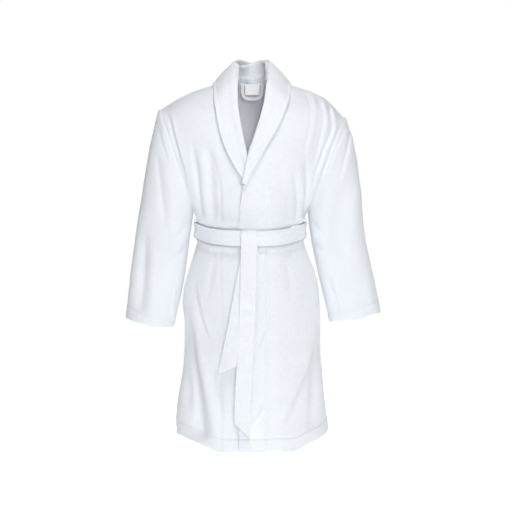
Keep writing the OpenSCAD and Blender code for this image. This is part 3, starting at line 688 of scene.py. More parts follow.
# ---- Belt and tails ----
def belt_point(a, k, off):
    """Points of the belt: a round the waist in degrees, k from -1 at its lower edge to 1."""
    rise = ease((-sind(a) - sind(LAP_FROM) + 0.25) / 0.5)
    z = belt_z(a) + k * BELT_W / 2
    p = body_off(RIGHT, a, z, off)
    p[..., 1] -= LAP * rise
    return p


def belt_sheet():
    a, k = np.meshgrid(np.linspace(-180, 180, 301)[:-1], np.linspace(-1, 1, 29))
    x = CHEST / 2 * cosd(a) * -1
    near = np.where(np.sin(np.radians(a)) < 0, 1.0, 0.25)
    # lengthwise creases, as in cloth that was knotted before
    right_part = (x < KNOT_X) * near
    left_part = (x > KNOT_X) * near
    slack = ease((np.abs(x - KNOT_X) - 8) / 60)
    h = -1.5 * right_part * np.exp(-(((k - 0.28 + 0.0012 * (x + 90)) / 0.09) ** 2)) * (1 - 0.4 * slack)
    h += -1.3 * right_part * np.exp(-(((k + 0.42 - 0.0008 * (x + 90)) / 0.10) ** 2))
    h += 0.9 * right_part * np.exp(-(((k - 0.6) / 0.2) ** 2))
    # the wearer's left part: its upper layer runs down towards the knot, over the layer behind
    line = 1.02 - 0.85 * (1 - ease((x - KNOT_X - 4) / 165))
    over = ease((line - k) / 0.07 + 0.5)
    h += left_part * (1.9 * (over - 1) - 1.2 * np.exp(-(((k - line - 0.05) / 0.06) ** 2)))
    h += left_part * -0.8 * np.exp(-(((k + 0.55) / 0.1) ** 2))
    h += 0.4 * mottle(x, k * 23 + a, 14, 33)
    h -= 0.7 * np.exp(-(((np.abs(k) - 0.87) / 0.04) ** 2))
    return belt_point(a, k, BELT_OFF + BELT_T + h)


TAIL_TOP, KNOT_BACK, TAIL_T, TAIL_GAP = -493.5, -206.743, 6.25, 1.5
FRONT_TAIL = dict(layer=TAIL_T + TAIL_GAP, length=478, slant=36, lean=1.5, drift=-7)
REAR_TAIL = dict(layer=0.0, length=315, slant=-36, lean=10.5, drift=-4)


def skirt_front(x, z):
    """How far forward the skirt's front is."""
    z = np.maximum(HEM_Z, z)
    a = -np.degrees(np.arccos(np.clip(x / half_w(True, z), -0.98, 0.98)))
    return -NECK_BACK - (depth(True, z) + lift(LEFT, True, a, z)) * sind(-a)


def tail_sheet(layer, length, slant, lean, drift, top, seed):
    """A tail from top above its pivot down to its slanted end, lying close over the skirt."""
    v = spread(((-top, 2), (-top + 8, 5), (length + abs(slant) / 2, 1)))
    u = spread(((-1, 0.05), (-0.8, 0.14), (0.8, 0.05), (1, 1)))
    uu, vv = np.meshgrid(u, v)
    share = ease((vv - length + 60) / 60)
    vv = vv + share * uu * slant / 2
    angle = math.radians(lean)
    x = KNOT_X + uu * BELT_W / 2 * math.cos(angle) - vv * math.sin(angle) + drift * ease((vv - 180) / 260)
    z = TAIL_TOP - vv * math.cos(angle) - uu * BELT_W / 2 * math.sin(angle)
    plane = KNOT_BACK - layer - (TAIL_TOP - z) * math.tan(math.radians(6.2)) - TAIL_T
    near = skirt_front(x, z) - 9 - layer - TAIL_T
    y = plane + (np.maximum(plane, near) - plane) * ease((vv - 60) / 160) * 0.8
    s = uu * 23
    wrinkles = (1.6 * np.exp(-(((vv - 130 - 0.3 * s) / 7) ** 2)) + 1.2 * np.exp(-(((vv - 172 + 0.4 * s) / 6) ** 2))
                + 1.3 * np.exp(-(((vv - 330 - 0.2 * s) / 8) ** 2)) - 1.2 * np.exp(-(((vv - 150 + 0.2 * s) / 8) ** 2)))
    y -= wrinkles + 0.8 * mottle(s, vv, 22, seed) - 0.7 * np.exp(-(((np.abs(uu) - 0.84) / 0.05) ** 2))
    y -= 3 * np.sin(vv / 95 + seed) * ease(vv / 120) * (1 + 0.3 * uu)
    return np.stack([x, y, z], -1)


def knot_fold():
    """The front tail's top, folded over the belt's upper edge and down behind it."""
    upper = -444 + BELT_W / 2 + 4
    front_y = KNOT_BACK - TAIL_T - TAIL_GAP - TAIL_T
    path = [(front_y, -500.0), (front_y, -470.0), (front_y, upper - 12)]
    centre = (front_y + 9.0, upper - 9.0)
    turns = [math.radians(q) for q in range(10, 171, 20)]
    path += [(centre[0] - 9 * math.cos(q), centre[1] + 9 * math.sin(q)) for q in turns]
    path += [(centre[0] + 9, upper - 16), (centre[0] + 8, -444.0), (centre[0] + 8, -466.0)]
    rows = []
    for k, (y, z) in enumerate(path):
        wide = BELT_W / 2 * (1.0 if k < 3 else 0.97)
        across = np.linspace(-1, 1, 21)
        rows.append([(KNOT_X + u * wide, y + 1.5 * u * u, z - 2.5 * u**4 * (2 < k < 13)) for u in across])
    return np.array(rows)


def carrier_path():
    """Side view of a belt loop, from its lower end to its upper end."""
    reach_out, h = BELT_OFF + BELT_T + 1.5 * GAP + 1.0, BELT_W / 2 + 12
    k = np.concatenate([np.linspace(-1, -0.66, 9), np.linspace(-0.6, 0.6, 9), np.linspace(0.66, 1, 9)])
    out = reach_out + (GAP + 0.6 - reach_out) * ease((np.abs(k) - 0.68) / 0.24)
    z = WAIST_Z + k * h
    return half_w(True, z) + out, z


# ---- Shader maths ----
class Value:
    """A shader socket that takes part in Python expressions."""

    def __init__(self, sheet, socket):
        self.sheet, self.socket = sheet, socket

    def op(self, name, a, b=None):
        return self.sheet.node("ShaderNodeMath", {"operation": name}, {0: a, 1: b} if b is not None else {0: a})[0]

    def __add__(self, b):
        return self.op("ADD", self, b)

    def __sub__(self, b):
        return self.op("SUBTRACT", self, b)

    def __rsub__(self, b):
        return self.op("SUBTRACT", b, self)

    def __mul__(self, b):
        return self.op("MULTIPLY", self, b)

    def __truediv__(self, b):
        return self.op("DIVIDE", self, b)

    def __pow__(self, b):
        return self.op("POWER", self, b)

    __radd__, __rmul__ = __add__, __mul__


class Finish:
    """One material: node() adds a node and gives its outputs as Values."""

    def __init__(self, name):
        self.material = bpy.data.materials.new(name)
        self.material.use_nodes = True
        self.tree = self.material.node_tree
        self.shader = self.tree.nodes["Principled BSDF"]

    def put(self, socket, value):
        if isinstance(value, Value):
            self.tree.links.new(value.socket, socket)
        else:
            socket.default_value = value

    def node(self, kind, settings=None, inputs=None):
        made = self.tree.nodes.new(kind)
        for key, value in (settings or {}).items():
            setattr(made, key, value)
        for key, value in (inputs or {}).items():
            self.put(made.inputs[key], value)
        return [Value(self, s) for s in made.outputs]

    def ramp(self, value, stops):
        made = self.tree.nodes.new("ShaderNodeValToRGB")
        while len(made.color_ramp.elements) < len(stops):
            made.color_ramp.elements.new(0.5)
        for element, (at, colour) in zip(made.color_ramp.elements, stops):
            element.position, element.color = at, (*colour, 1)
        self.put(made.inputs[0], value)
        return Value(self, made.outputs[0])

    def weave(self, stretch=(1, 1, 1)):
        uv = self.node("ShaderNodeUVMap", {"uv_map": "weave"})[0]
        return self.node("ShaderNodeMapping", None, {"Vector": uv, "Scale": stretch})[0]

    def noise(self, where, scale, detail=2, rough=0.5):
        given = {"Vector": where, "Scale": scale, "Detail": detail, "Roughness": rough}
        return self.node("ShaderNodeTexNoise", None, given)[0]

    def end(self, colour, rough, height, strength, distance, **constants):
        bump = self.node("ShaderNodeBump", None, {"Strength": strength, "Distance": distance, "Height": height})[0]
        self.put(self.shader.inputs["Base Color"], colour)
        self.put(self.shader.inputs["Roughness"], rough)
        self.put(self.shader.inputs["Normal"], bump)
        for key, value in constants.items():
            self.shader.inputs[key.replace("_", " ")].default_value = value
        return self.material


def shade(colour, factor):
    return tuple(c * factor for c in colour)


def terry(name, colour, cord=1.0):
    """Cut cotton pile: fine tufts in faint cords along the cloth, with a soft uneven nap. Its colour is mottled at
    random and has painted shade in the pile's troughs.
    """
    f = Finish(name)
    where = f.weave()
    tufts = f.node("ShaderNodeTexVoronoi", {"feature": "F1"}, {"Vector": where, "Scale": 620.0, "Randomness": 0.9})[0]
    cords = f.node("ShaderNodeTexWave", {"bands_direction": "X"},
                   {"Vector": where, "Scale": 78.0, "Distortion": 1.6, "Detail": 2.0, "Detail Scale": 1.4})[1]
    nap = f.noise(where, 95.0, 4, 0.6)
    patch = f.noise(where, 17.0, 3, 0.5)
    pile = (1 - tufts) * 0.9 + cords * (0.55 * cord) + nap * 1.5
    # colour: random mottling, plus painted shade that darkens the pile where it is low, between the tufts and on the
    # cords' low sides
    mottle_and_trough_shade = nap * 0.55 + patch * 0.25 + cords * (0.12 * cord) + (1 - tufts) * 0.08
    colours = f.ramp(mottle_and_trough_shade, ((0.28, shade(colour, 0.93)), (0.5, colour), (0.78, shade(colour, 1.025))))
    rough = 0.9 + nap * 0.1
    return f.end(colours, rough, pile, 0.55, 0.0011, Sheen_Weight=0.45, Sheen_Roughness=0.6, Specular_IOR_Level=0.15)


def tape(name, colour):
    """Twill tape: fine slanted ribs."""
    f = Finish(name)
    where = f.node("ShaderNodeTexCoord")[3]
    given = {"Vector": where, "Scale": 420.0, "Distortion": 0.4}
    ribs = f.node("ShaderNodeTexWave", {"bands_direction": "DIAGONAL"}, given)[1]
    nap = f.noise(where, 300.0, 3)
    colours = f.ramp(ribs * 0.5 + nap * 0.5, ((0.2, shade(colour, 0.9)), (0.7, colour)))
    return f.end(colours, 0.75 + nap * 0.2, ribs + nap * 0.5, 0.5, 0.0003, Sheen_Weight=0.1, Specular_IOR_Level=0.3)


def satin(name, colour):
    """Smooth woven label with a close weave."""
    f = Finish(name)
    where = f.node("ShaderNodeTexCoord")[3]
    given = {"Vector": where, "Scale": 900.0, "Distortion": 0.2}
    over = f.node("ShaderNodeTexWave", {"bands_direction": "X"}, given)[1]
    down = f.node("ShaderNodeTexWave", {"bands_direction": "Z"}, given)[1]
    weave = over * down
    colours = f.ramp(weave + f.noise(where, 120.0) * 0.3, ((0.1, shade(colour, 0.94)), (0.9, colour)))
    return f.end(colours, 0.42 + weave * 0.15, weave, 0.3, 0.00015, Specular_IOR_Level=0.4)


def cotton_thread(name, colour):
    """Twisted cotton thread."""
    f = Finish(name)
    where = f.node("ShaderNodeTexCoord")[3]
    twist = f.node("ShaderNodeTexWave", {"bands_direction": "DIAGONAL"}, {"Vector": where, "Scale": 1500.0})[1]
    colours = f.ramp(twist, ((0.0, shade(colour, 0.9)), (1.0, colour)))
    return f.end(colours, 0.6 + twist * 0.2, twist, 0.5, 0.0001, Specular_IOR_Level=0.35)


# ---- Stitches ----
def stitch_tree():
    """Geometry Nodes: short rounded stitches along lines, a fixed pitch apart."""
    tree = bpy.data.node_groups.new("Stitch row", "GeometryNodeTree")
    face = tree.interface
    face.new_socket("Geometry", in_out="INPUT", socket_type="NodeSocketGeometry")
    for name, value in (("Pitch", 0.0032), ("Stitch length", 0.0024), ("Thread", 0.0009)):
        socket = face.new_socket(name, in_out="INPUT", socket_type="NodeSocketFloat")
        socket.default_value = value
    face.new_socket("Material", in_out="INPUT", socket_type="NodeSocketMaterial")
    face.new_socket("Geometry", in_out="OUTPUT", socket_type="NodeSocketGeometry")
    nodes, join = tree.nodes, tree.links.new
    given, result = nodes.new("NodeGroupInput"), nodes.new("NodeGroupOutput")
    to_curve = nodes.new("GeometryNodeMeshToCurve")
    resample = nodes.new("GeometryNodeResampleCurve")
    resample.mode = "LENGTH"
    tangent = nodes.new("GeometryNodeInputTangent")
    align = nodes.new("FunctionNodeAlignEulerToVector")
    align.axis = "X"
    ball = nodes.new("GeometryNodeMeshUVSphere")
    ball.inputs["Segments"].default_value, ball.inputs["Rings"].default_value = 6, 5
    ball.inputs["Radius"].default_value = 0.5
    shape = nodes.new("ShaderNodeCombineXYZ")
    place_on = nodes.new("GeometryNodeInstanceOnPoints")
    smooth = nodes.new("GeometryNodeSetShadeSmooth")
    real = nodes.new("GeometryNodeRealizeInstances")
    dress = nodes.new("GeometryNodeSetMaterial")
    join(given.outputs["Geometry"], to_curve.inputs[0])
    join(to_curve.outputs[0], resample.inputs["Curve"])
    join(given.outputs["Pitch"], resample.inputs["Length"])
    join(resample.outputs[0], place_on.inputs["Points"])
    join(tangent.outputs[0], align.inputs["Vector"])
    join(align.outputs[0], place_on.inputs["Rotation"])
    join(given.outputs["Stitch length"], shape.inputs["X"])
    join(given.outputs["Thread"], shape.inputs["Y"])
    join(given.outputs["Thread"], shape.inputs["Z"])
    join(shape.outputs[0], place_on.inputs["Scale"])
    join(ball.outputs["Mesh"], smooth.inputs[0])
    join(smooth.outputs[0], place_on.inputs["Instance"])
    join(place_on.outputs[0], real.inputs[0])
    join(real.outputs[0], dress.inputs["Geometry"])
    join(given.outputs["Material"], dress.inputs["Material"])
    join(dress.outputs[0], result.inputs[0])
    return tree


TREES = {}


def stitches(name, lines, material, body_name, sizes):
    """A row of stitches along each line of points in metres."""
    if "stitch" not in TREES:
        TREES["stitch"] = stitch_tree()
    tree = TREES["stitch"]
    obj = link(name, line_mesh(name, lines))
    rows = obj.modifiers.new("stitches", "NODES")
    rows.node_group = tree
    given = {"Pitch": sizes.stitch_pitch, "Stitch length": sizes.stitch_length, "Thread": sizes.thread, "Material": material}
    for item in tree.interface.items_tree:
        if item.in_out == "INPUT" and item.name in given:
            rows[item.identifier] = given[item.name]
    bake(obj)
    if not len(obj.data.polygons):
        raise RuntimeError(f"{name} has no stitches")
    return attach(obj, body_name)


# ---- The robe's settings ----
class RobeSizes(bpy.types.PropertyGroup):
    """Sizes that a user of the robe may change."""

    cloth: bpy.props.FloatProperty(name="Cloth", description="Thickness of the terry cloth", default=CLOTH * MM,
                                   min=0.002, max=0.006, unit="LENGTH")
    collar: bpy.props.FloatProperty(name="Collar", description="Thickness of the doubled collar", default=COLLAR * MM,
                                    min=0.004, max=0.008, unit="LENGTH")
    belt: bpy.props.FloatProperty(name="Belt", description="Thickness of the belt", default=BELT_T * MM,
                                  min=0.004, max=0.008, unit="LENGTH")
    stitch_pitch: bpy.props.FloatProperty(name="Stitch pitch", description="Distance from stitch to stitch",
                                          default=0.0034, min=0.002, max=0.006, unit="LENGTH")
    stitch_length: bpy.props.FloatProperty(name="Stitch length", description="Length of one stitch", default=0.0026,
                                           min=0.001, max=0.005, unit="LENGTH")
    thread: bpy.props.FloatProperty(name="Thread", description="Thickness of the sewing thread", default=0.0008,
                                    min=0.0003, max=0.0015, unit="LENGTH")


class RobeColours(bpy.types.PropertyGroup):
    """Colours of the robe's cloths."""

    robe: bpy.props.FloatVectorProperty(name="Robe", description="Colour of the terry cloth", subtype="COLOR", size=3,
                                        min=0, max=1, default=(0.80, 0.835, 0.885))
    trim: bpy.props.FloatVectorProperty(name="Tape", description="Colour of the neck tape and the hanging loop",
                                        subtype="COLOR", size=3, min=0, max=1, default=(0.78, 0.80, 0.83))
    label: bpy.props.FloatVectorProperty(name="Label", description="Colour of the blank label", subtype="COLOR", size=3,
                                         min=0, max=1, default=(0.86, 0.87, 0.89))
    thread: bpy.props.FloatVectorProperty(name="Thread", description="Colour of the sewing thread", subtype="COLOR",
                                          size=3, min=0, max=1, default=(0.74, 0.77, 0.81))


def sizes():
    return bpy.context.scene.robe_sizes


def material(key):
    """The robe's materials, each made once."""
    found = bpy.data.materials.get(key)
    if found:
        return found
    colours = bpy.context.scene.robe_colours
    makers = {
        "terry_cloth": lambda: terry(key, tuple(colours.robe)),
        "collar_terry": lambda: terry(key, shade(tuple(colours.robe), 1.02), 0.6),
        "belt_terry": lambda: terry(key, shade(tuple(colours.robe), 1.01), 0.8),
        "woven_tape": lambda: tape(key, tuple(colours.trim)),
        "label_weave": lambda: satin(key, tuple(colours.label)),
        "sewing_thread": lambda: cotton_thread(key, tuple(colours.thread)),
    }
    return makers[key]()


def dressed(obj, slot, body_name, *nodes):
    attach(obj, body_name)
    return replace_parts(obj, *nodes)


# ---- Cut sizes of the cloth in mm, from the pattern's sizes and never from a finished mesh ----
def half_round(wide, deep):
    """Half the way round an oval that is wide across and deep from its middle."""
    a, b = wide / 2, deep
    return math.pi / 2 * (3 * (a + b) - math.sqrt((3 * a + b) * (a + 3 * b)))


def shaped(runs_at, widths):
    """Width, length and area of a cut whose width changes along its length."""
    area = sum((q - p) * (v + w) / 2 for p, q, v, w in zip(runs_at, runs_at[1:], widths, widths[1:]))
    return max(widths), runs_at[-1] - runs_at[0], area


NECK_TAPE_CUT, LABEL_CUT, KNOT_CUT_LEN = (142, 16), (43, 32), 140
STRAP_W, STRAP_PAST, STAND_ROLL = 10, 12, 12
LEVELS = ((ARMPIT_Z, CHEST), (WAIST_Z, WAIST), (HIP_Z, HIP), (HEM_Z, HEM))
CUT_AT = (0, -TIP_Z, -ARMPIT_Z, -WAIST_Z, -HIP_Z, ROBE_LEN)


def back_cut():
    rounds = [half_round(w, float(curve(BACKS, -z))) for z, w in LEVELS]
    return shaped(CUT_AT, [NECK_W, SHOULDER] + rounds)


def front_cut(side):
    past = LEFT_OVERLAP if side == LEFT else -RIGHT_SHORT
    rounds = [half_round(w, float(curve(FRONTS, -z))) / 2 + past for z, w in LEVELS]
    return shaped(CUT_AT, [(NECK_W - FOLD_W) / 2, (SHOULDER - FOLD_W) / 2] + rounds)


def sleeve_cut():
    outer, inner = bend(TIP, OUTER_MID, CUFF_OUTER, 0.5), bend(ARMPIT, INNER_MID, CUFF_INNER, 0.5)
    halfway = (ARMHOLE_D + CUFF_D) / 4 + 4
    places = [(TIP, ARMPIT, ARMHOLE_D / 2), (outer, inner, halfway), (CUFF_OUTER, CUFF_INNER, CUFF_D / 2)]
    middles = [(o + i) / 2 for o, i, _ in places]
    first = float(np.linalg.norm(middles[1] - middles[0]))
    runs_at = (0, first, first + float(np.linalg.norm(middles[2] - middles[1])))
    return shaped(runs_at, [2 * half_round(float(np.linalg.norm(o - i)), deep) for o, i, deep in places])


def collar_cut():
    behind = math.pi / 4 * (NECK_W / 3 + COLLAR_SPAN / 2)
    before = math.hypot(LAPEL_DROP + STAND_H, NECK_FRONT + 30)
    at_side = math.hypot(COLLAR_SPAN / 2 - NECK_W / 3, STAND_H + COLLAR_COVER)
    widths = [STAND_H + COLLAR_COVER, at_side, (COLLAR_SPAN - FOLD_W) / 2 + 10, 0]
    return shaped((0, behind, behind + before / 2, behind + before), widths)


def stand_cut():
    side, behind, rolled = NECK_FRONT, half_round(NECK_W, NECK_BACK), STAND_ROLL
    heights = [rolled, STAND_H - 5 + rolled, STAND_H + rolled, STAND_H - 5 + rolled, rolled]
    return shaped((0, side, side + behind / 2, side + behind, 2 * side + behind), heights)


def belt_cut():
    waist, middle = WAIST + 2 * BELT_OFF + BELT_T, BELT_OFF + BELT_T / 2
    front, back = float(curve(FRONTS, -WAIST_Z)) + LAP, float(curve(BACKS, -WAIST_Z))
    return BELT_W, half_round(waist, front + middle) + half_round(waist, back + middle)


def strap_cut():
    """A belt loop: it runs past the belt at both ends, and goes out over the belt's thickness and back."""
    return STRAP_W, BELT_W + 2 * STRAP_PAST + 2 * (BELT_OFF + BELT_T)


def cut_from(obj, cut, held, *rests):
    """Works out a piece's cut size in metres: width, length and, where it isn't a rectangle, area; the values are not
    used.
    """
    area = cut[2] * MM * MM if len(cut) > 2 else None
    cut[0] * MM
    cut[1] * MM


# ---- Operators: one for each piece or group of like pieces ----
class Build(bpy.types.Operator):
    """Base of the robe's operators"""

    bl_options = {"REGISTER", "UNDO"}

    def execute(self, context):
        self.build()
        return {"FINISHED"}


class ROBE_OT_back(Build):
    """Back panel, in one piece from the shoulders to the hem"""

    bl_idname = "robe.back"
    bl_label = "Back"

    def build(self):
        g = back_sheet()
        obj = cloth("back_panel_cloth", place(g), sizes().cloth / MM, material("terry_cloth"))
        dressed(obj, "robe_cloth", ROOT, "back_panel")
        cut_from(obj, back_cut(), "hung")


class ROBE_OT_fronts(Build):
    """Left and right fronts; the left one lies on top"""

    bl_idname = "robe.fronts"
    bl_label = "Fronts"

    def build(self):
        for side, name in ((LEFT, "left"), (RIGHT, "right")):
            obj = cloth(f"{name}_front_cloth", place(front_sheet(side), side), sizes().cloth / MM,
                        material("terry_cloth"), flip=side == LEFT)
            dressed(obj, "robe_cloth", ROOT, f"{name}_front_panel")
            cut_from(obj, front_cut(side), "hung")


class ROBE_OT_facings(Build):
    """Facings sewn behind the front edges"""

    bl_idname = "robe.facings"
    bl_label = "Facings"

    def build(self):
        for side, name in ((LEFT, "left"), (RIGHT, "right")):
            obj = cloth(f"{name}_facing_cloth", place(facing_sheet(side), side), FACING, material("terry_cloth"),
                        flip=side == LEFT)
            dressed(obj, "robe_cloth", ROOT, f"{name}_front_facing")
            cut_from(obj, (FACING_W, ROBE_LEN - 34), "hung", f"{name}_front_cloth")


class ROBE_OT_sleeves(Build):
    """Sleeves, sewn into the armholes, with turned cuffs"""

    bl_idname = "robe.sleeves"
    bl_label = "Sleeves"

    def build(self):
        for side, name in ((LEFT, "left"), (RIGHT, "right")):
            obj = cloth(f"{name}_sleeve_cloth", place(sleeve_sheet(side), side), sizes().cloth / MM,
                        material("terry_cloth"), flip=side == RIGHT, closed=True)
            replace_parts(obj, f"{name}_sleeve")
            cut_from(obj, sleeve_cut(), "hung")
            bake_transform(obj)


class ROBE_OT_collar(Build):
    """Shawl collar in two halves, joined behind the neck, and its stand"""

    bl_idname = "robe.collar"
    bl_label = "Collar"

    def build(self):
        for side, name in ((LEFT, "left"), (RIGHT, "right")):
            obj = cloth(f"{name}_collar_cloth", place(collar_top(side), side), sizes().collar / MM,
                        material("collar_terry"), flip=side == RIGHT, bevel=0.42)
            dressed(obj, "collar_cloth", ROOT, f"{name}_collar")
            cut_from(obj, collar_cut(), "folded", f"{name}_front_cloth")
        obj = cloth("under_collar_cloth", place(stand_sheet()), CLOTH, material("collar_terry"), flip=True)
        dressed(obj, "collar_cloth", ROOT, "under_collar")
        cut_from(obj, stand_cut(), "folded")


class ROBE_OT_neck(Build):
    """Neck tape, hanging loop and blank label inside the back neck"""

    bl_idname = "robe.neck"
    bl_label = "Neck tape, loop and label"

    def build(self):
        obj = cloth("neck_tape_strip", place(neck_tape_sheet()), 1.5, material("woven_tape"), flip=True)
        dressed(obj, "tape", ROOT, "back_neck_tape")
        cut_from(obj, NECK_TAPE_CUT, "stretched")
        obj = cloth("hanging_loop_tape", place(loop_sheet()), 1.6, material("woven_tape"), offset=0)
        dressed(obj, "tape", "hanging_loop", "hanging_loop")
        obj = cloth("woven_label_cloth", place(label_sheet()), 0.8, material("label_weave"), offset=0)
        dressed(obj, "label", "woven_label", "woven_label")
        cut_from(obj, LABEL_CUT, "hung")


class ROBE_OT_belt(Build):
    """Belt round the waist, its knot, its two tails and its loops"""

    bl_idname = "robe.belt"
    bl_label = "Belt"

    def build(self):
        made = material("belt_terry")
        thick = sizes().belt / MM
        obj = cloth("belt_band", place(belt_sheet(), RIGHT), thick, made, flip=False, closed=True)
        dressed(obj, "belt_cloth", ROOT, "belt_wrap")
        cut_from(obj, belt_cut(), "stretched", "back_panel_cloth")
        obj = cloth("knot_fold", knot_fold() * MM, 5.5, made, flip=False)
        dressed(obj, "belt_cloth", "belt_knot", "belt_knot")
        cut_from(obj, (BELT_W, KNOT_CUT_LEN), "folded")
        for label, spec, seed, top in (("front", FRONT_TAIL, 2, 30), ("rear", REAR_TAIL, 4, 18)):
            g = tail_sheet(top=top, seed=seed, **spec)
            obj = cloth(f"{label}_tail_strip", g * MM, 5.5, made, flip=True)
            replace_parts(obj, f"belt_{label}_tail")
            cut_from(obj, (BELT_W, top + spec["length"] + abs(spec["slant"]) / 2), "hung")
            pivot = (KNOT_X * MM, (KNOT_BACK - spec["layer"]) * MM)
            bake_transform(obj)
        for side, name in ((LEFT, "left"), (RIGHT, "right")):
            x, z = carrier_path()
            rows = np.stack([np.stack([x, 0 * x + w, z], -1) for w in np.linspace(-5, 5, 7)], 1)
            obj = cloth(f"{name}_belt_loop_strap", place(rows, side), 1.8, made, flip=side == RIGHT)
            dressed(obj, "belt_cloth", ROOT, f"{name}_belt_loop")
            cut_from(obj, strap_cut(), "stretched")


class ROBE_OT_stitching(Build):
    """Rows of stitches along the hem, the cuffs, the collar and the facings"""

    bl_idname = "robe.stitching"
    bl_label = "Stitching"

    def build(self):
        made, given = material("sewing_thread"), sizes()
        proud = 0.15
        row = int(np.argmin(np.abs(BODY_Z - HEM_LINE)))
        hem = [off_line(back_sheet(), row, proud, LEFT, 1)]
        hem += [off_line(front_sheet(s), row, proud, s, -1) for s in (LEFT, RIGHT)]
        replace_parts(stitches("hem_stitches", hem, made, ROOT, given), "hem_thread")
        ring = int(np.argmin(np.abs(SLEEVE_T - CUFF_T)))
        for side, name in ((LEFT, "left"), (RIGHT, "right")):
            g = sleeve_sheet(side)
            g = np.concatenate([g, g[:, :1]], 1)
            line = [off_line(g, ring, proud, side, -1)]
            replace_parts(stitches(f"{name}_cuff_stitches", line, made, f"{name}_sleeve", given), f"{name}_cuff_thread")
            top = collar_top(side)
            col = int(np.argmin(np.abs(COLLAR_V - 0.86)))
            line = [off_line(top.swapaxes(0, 1), col, proud, side, 1)]
            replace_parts(stitches(f"{name}_collar_stitches", line, made, ROOT, given), f"{name}_collar_thread")
            g = front_sheet(side)[BODY_Z < CHEST_Z + 40]
            lines = [off_line(g.swapaxes(0, 1), SIDE_COLS + k, proud, side, 1) for k in (0, 3)]
            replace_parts(stitches(f"{name}_facing_stitches", lines, made, ROOT, given), f"{name}_facing_thread")


class ROBE_OT_stage(Build):
    """Plain pale floor and backdrop, soft studio light and the camera"""

    bl_idname = "robe.stage"
    bl_label = "Stage"

    def build(self):
        build_stage()


def off_line(g, row, proud, side, sign):
    n = normals(g)[row] * sign
    return place(g[row] + proud * n, side)


# ---- Neck pieces ----
def drawn_in(p, by):
    n = np.linalg.norm(p[..., :2], axis=-1, keepdims=True)
    return np.concatenate([p[..., :2] * (1 - by / n), p[..., 2:]], -1)


STAND_IN = COLLAR / 2 + 2 * GAP


def stand_sheet():
    """The stand inside the collar, from the neck seam up to the fold."""
    feet, tops = [], []
    seams = {side: float(inner_angle(side, 0)) for side in (LEFT, RIGHT)}
    for e in np.linspace(0.97, 0.04, 15):
        feet.append(body(RIGHT, -seams[RIGHT] * e, 0) * [-1, 1, 1])
        tops.append(air_fold(RIGHT, e) * [-1, 1, 1])
    for a in np.linspace(180, 0, 49):
        feet.append(body(LEFT, a, 0))
        tops.append(back_fold(a))
    for e in np.linspace(0.04, 0.97, 15):
        feet.append(body(LEFT, -seams[LEFT] * e, 0))
        tops.append(air_fold(LEFT, e))
    foot = drawn_in(np.array(feet, float), GAP) + [0, 0, 0.5]
    top = drawn_in(np.array(tops, float), STAND_IN)
    v = np.linspace(0, 1, 15)
    g = foot[:, None] + (top - foot)[:, None] * v[None, :, None]
    # rolled over at the top, to meet the collar
    top = np.array(tops, float)
    roll = [drawn_in(top, STAND_IN - 10 * (1 - cosd(q))) + [0, 0, 6 * sind(q)] for q in (18, 36, 54, 72, 90)]
    g = np.concatenate([g] + [p[:, None] for p in roll], 1)
    v = np.append(v, np.ones(len(roll)))
    # a soft upright fold left of the middle of the back, and a crease above the seam
    x = g[..., 0]
    inward = 6 * np.exp(-(((x + 14 + 10 * v) / 8) ** 2)) - 3.4 * np.exp(-(((x - 2) / 7) ** 2))
    inward = inward + 2.4 * np.exp(-(((v[None] - 0.2) / 0.1) ** 2))
    behind = ease((g[..., 1] - 20) / 25)
    g = drawn_in(g, (np.maximum(-1.0, inward) * behind)[..., None])
    high = ease((g[..., 2] - 14) / 44)[..., None]
    return g * (1 - high * np.array([0.09, 0, 0])) - high * np.array([0, 0, 5])


def neck_tape_sheet():
    z = np.linspace(-14, -2, 5)
    a = np.linspace(45, 135, 40)
    return body_off(LEFT, a[None] + 0 * z[:, None], z[:, None] + 0 * a[None], -CLOTH - GAP + 0 * z[:, None] * a[None])


LOOP_GAP_W, LOOP_GAP_H, TAPE_W, LOOP_R = 49, 39, 9, 14
HANG_Y, HANG_Z = -17.9126, -3


def loop_sheet():
    """The loop: tape hanging down from the seam, turned at the corners and back up."""
    r, w = LOOP_R + TAPE_W / 2, (LOOP_GAP_W + TAPE_W) / 2
    low = -LOOP_GAP_H - TAPE_W / 2
    path = [(-w, z) for z in np.linspace(0, low + r, 8)]
    path += [(-w + r - r * math.cos(q), low + r - r * math.sin(q)) for q in np.linspace(0.15, math.pi / 2, 8)]
    path += [(x, low) for x in np.linspace(-w + r, w - r, 6)[1:]]
    path += [(w - r + r * math.sin(q), low + r - r * math.cos(q)) for q in np.linspace(0.15, math.pi / 2, 8)]
    path += [(w, z) for z in np.linspace(low + r, 0, 8)[1:]]
    p = np.array(path)
    t = np.gradient(p, axis=0)
    t /= np.linalg.norm(t, axis=1)[:, None]
    across_tape = np.stack([-t[:, 1], t[:, 0]], -1)
    u = np.linspace(-0.5, 0.5, 7)
    g = p[:, None] + across_tape[:, None] * (u * TAPE_W)[None, :, None]
    y = HANG_Y + NECK_BACK + 0.25 * np.cos(u * 2 * math.pi)[None] + 0 * g[..., 0]
    return np.stack([g[..., 0], y, g[..., 1] + HANG_Z], -1)


def label_sheet():
    x, z = np.meshgrid(np.linspace(-21.5, 21.5, 24), np.linspace(-32, 0, 18))
    y = HANG_Y + NECK_BACK + 0.4 * np.sin(x / 9) * (z / -32)
    return np.stack([x, y, z + HANG_Z], -1)


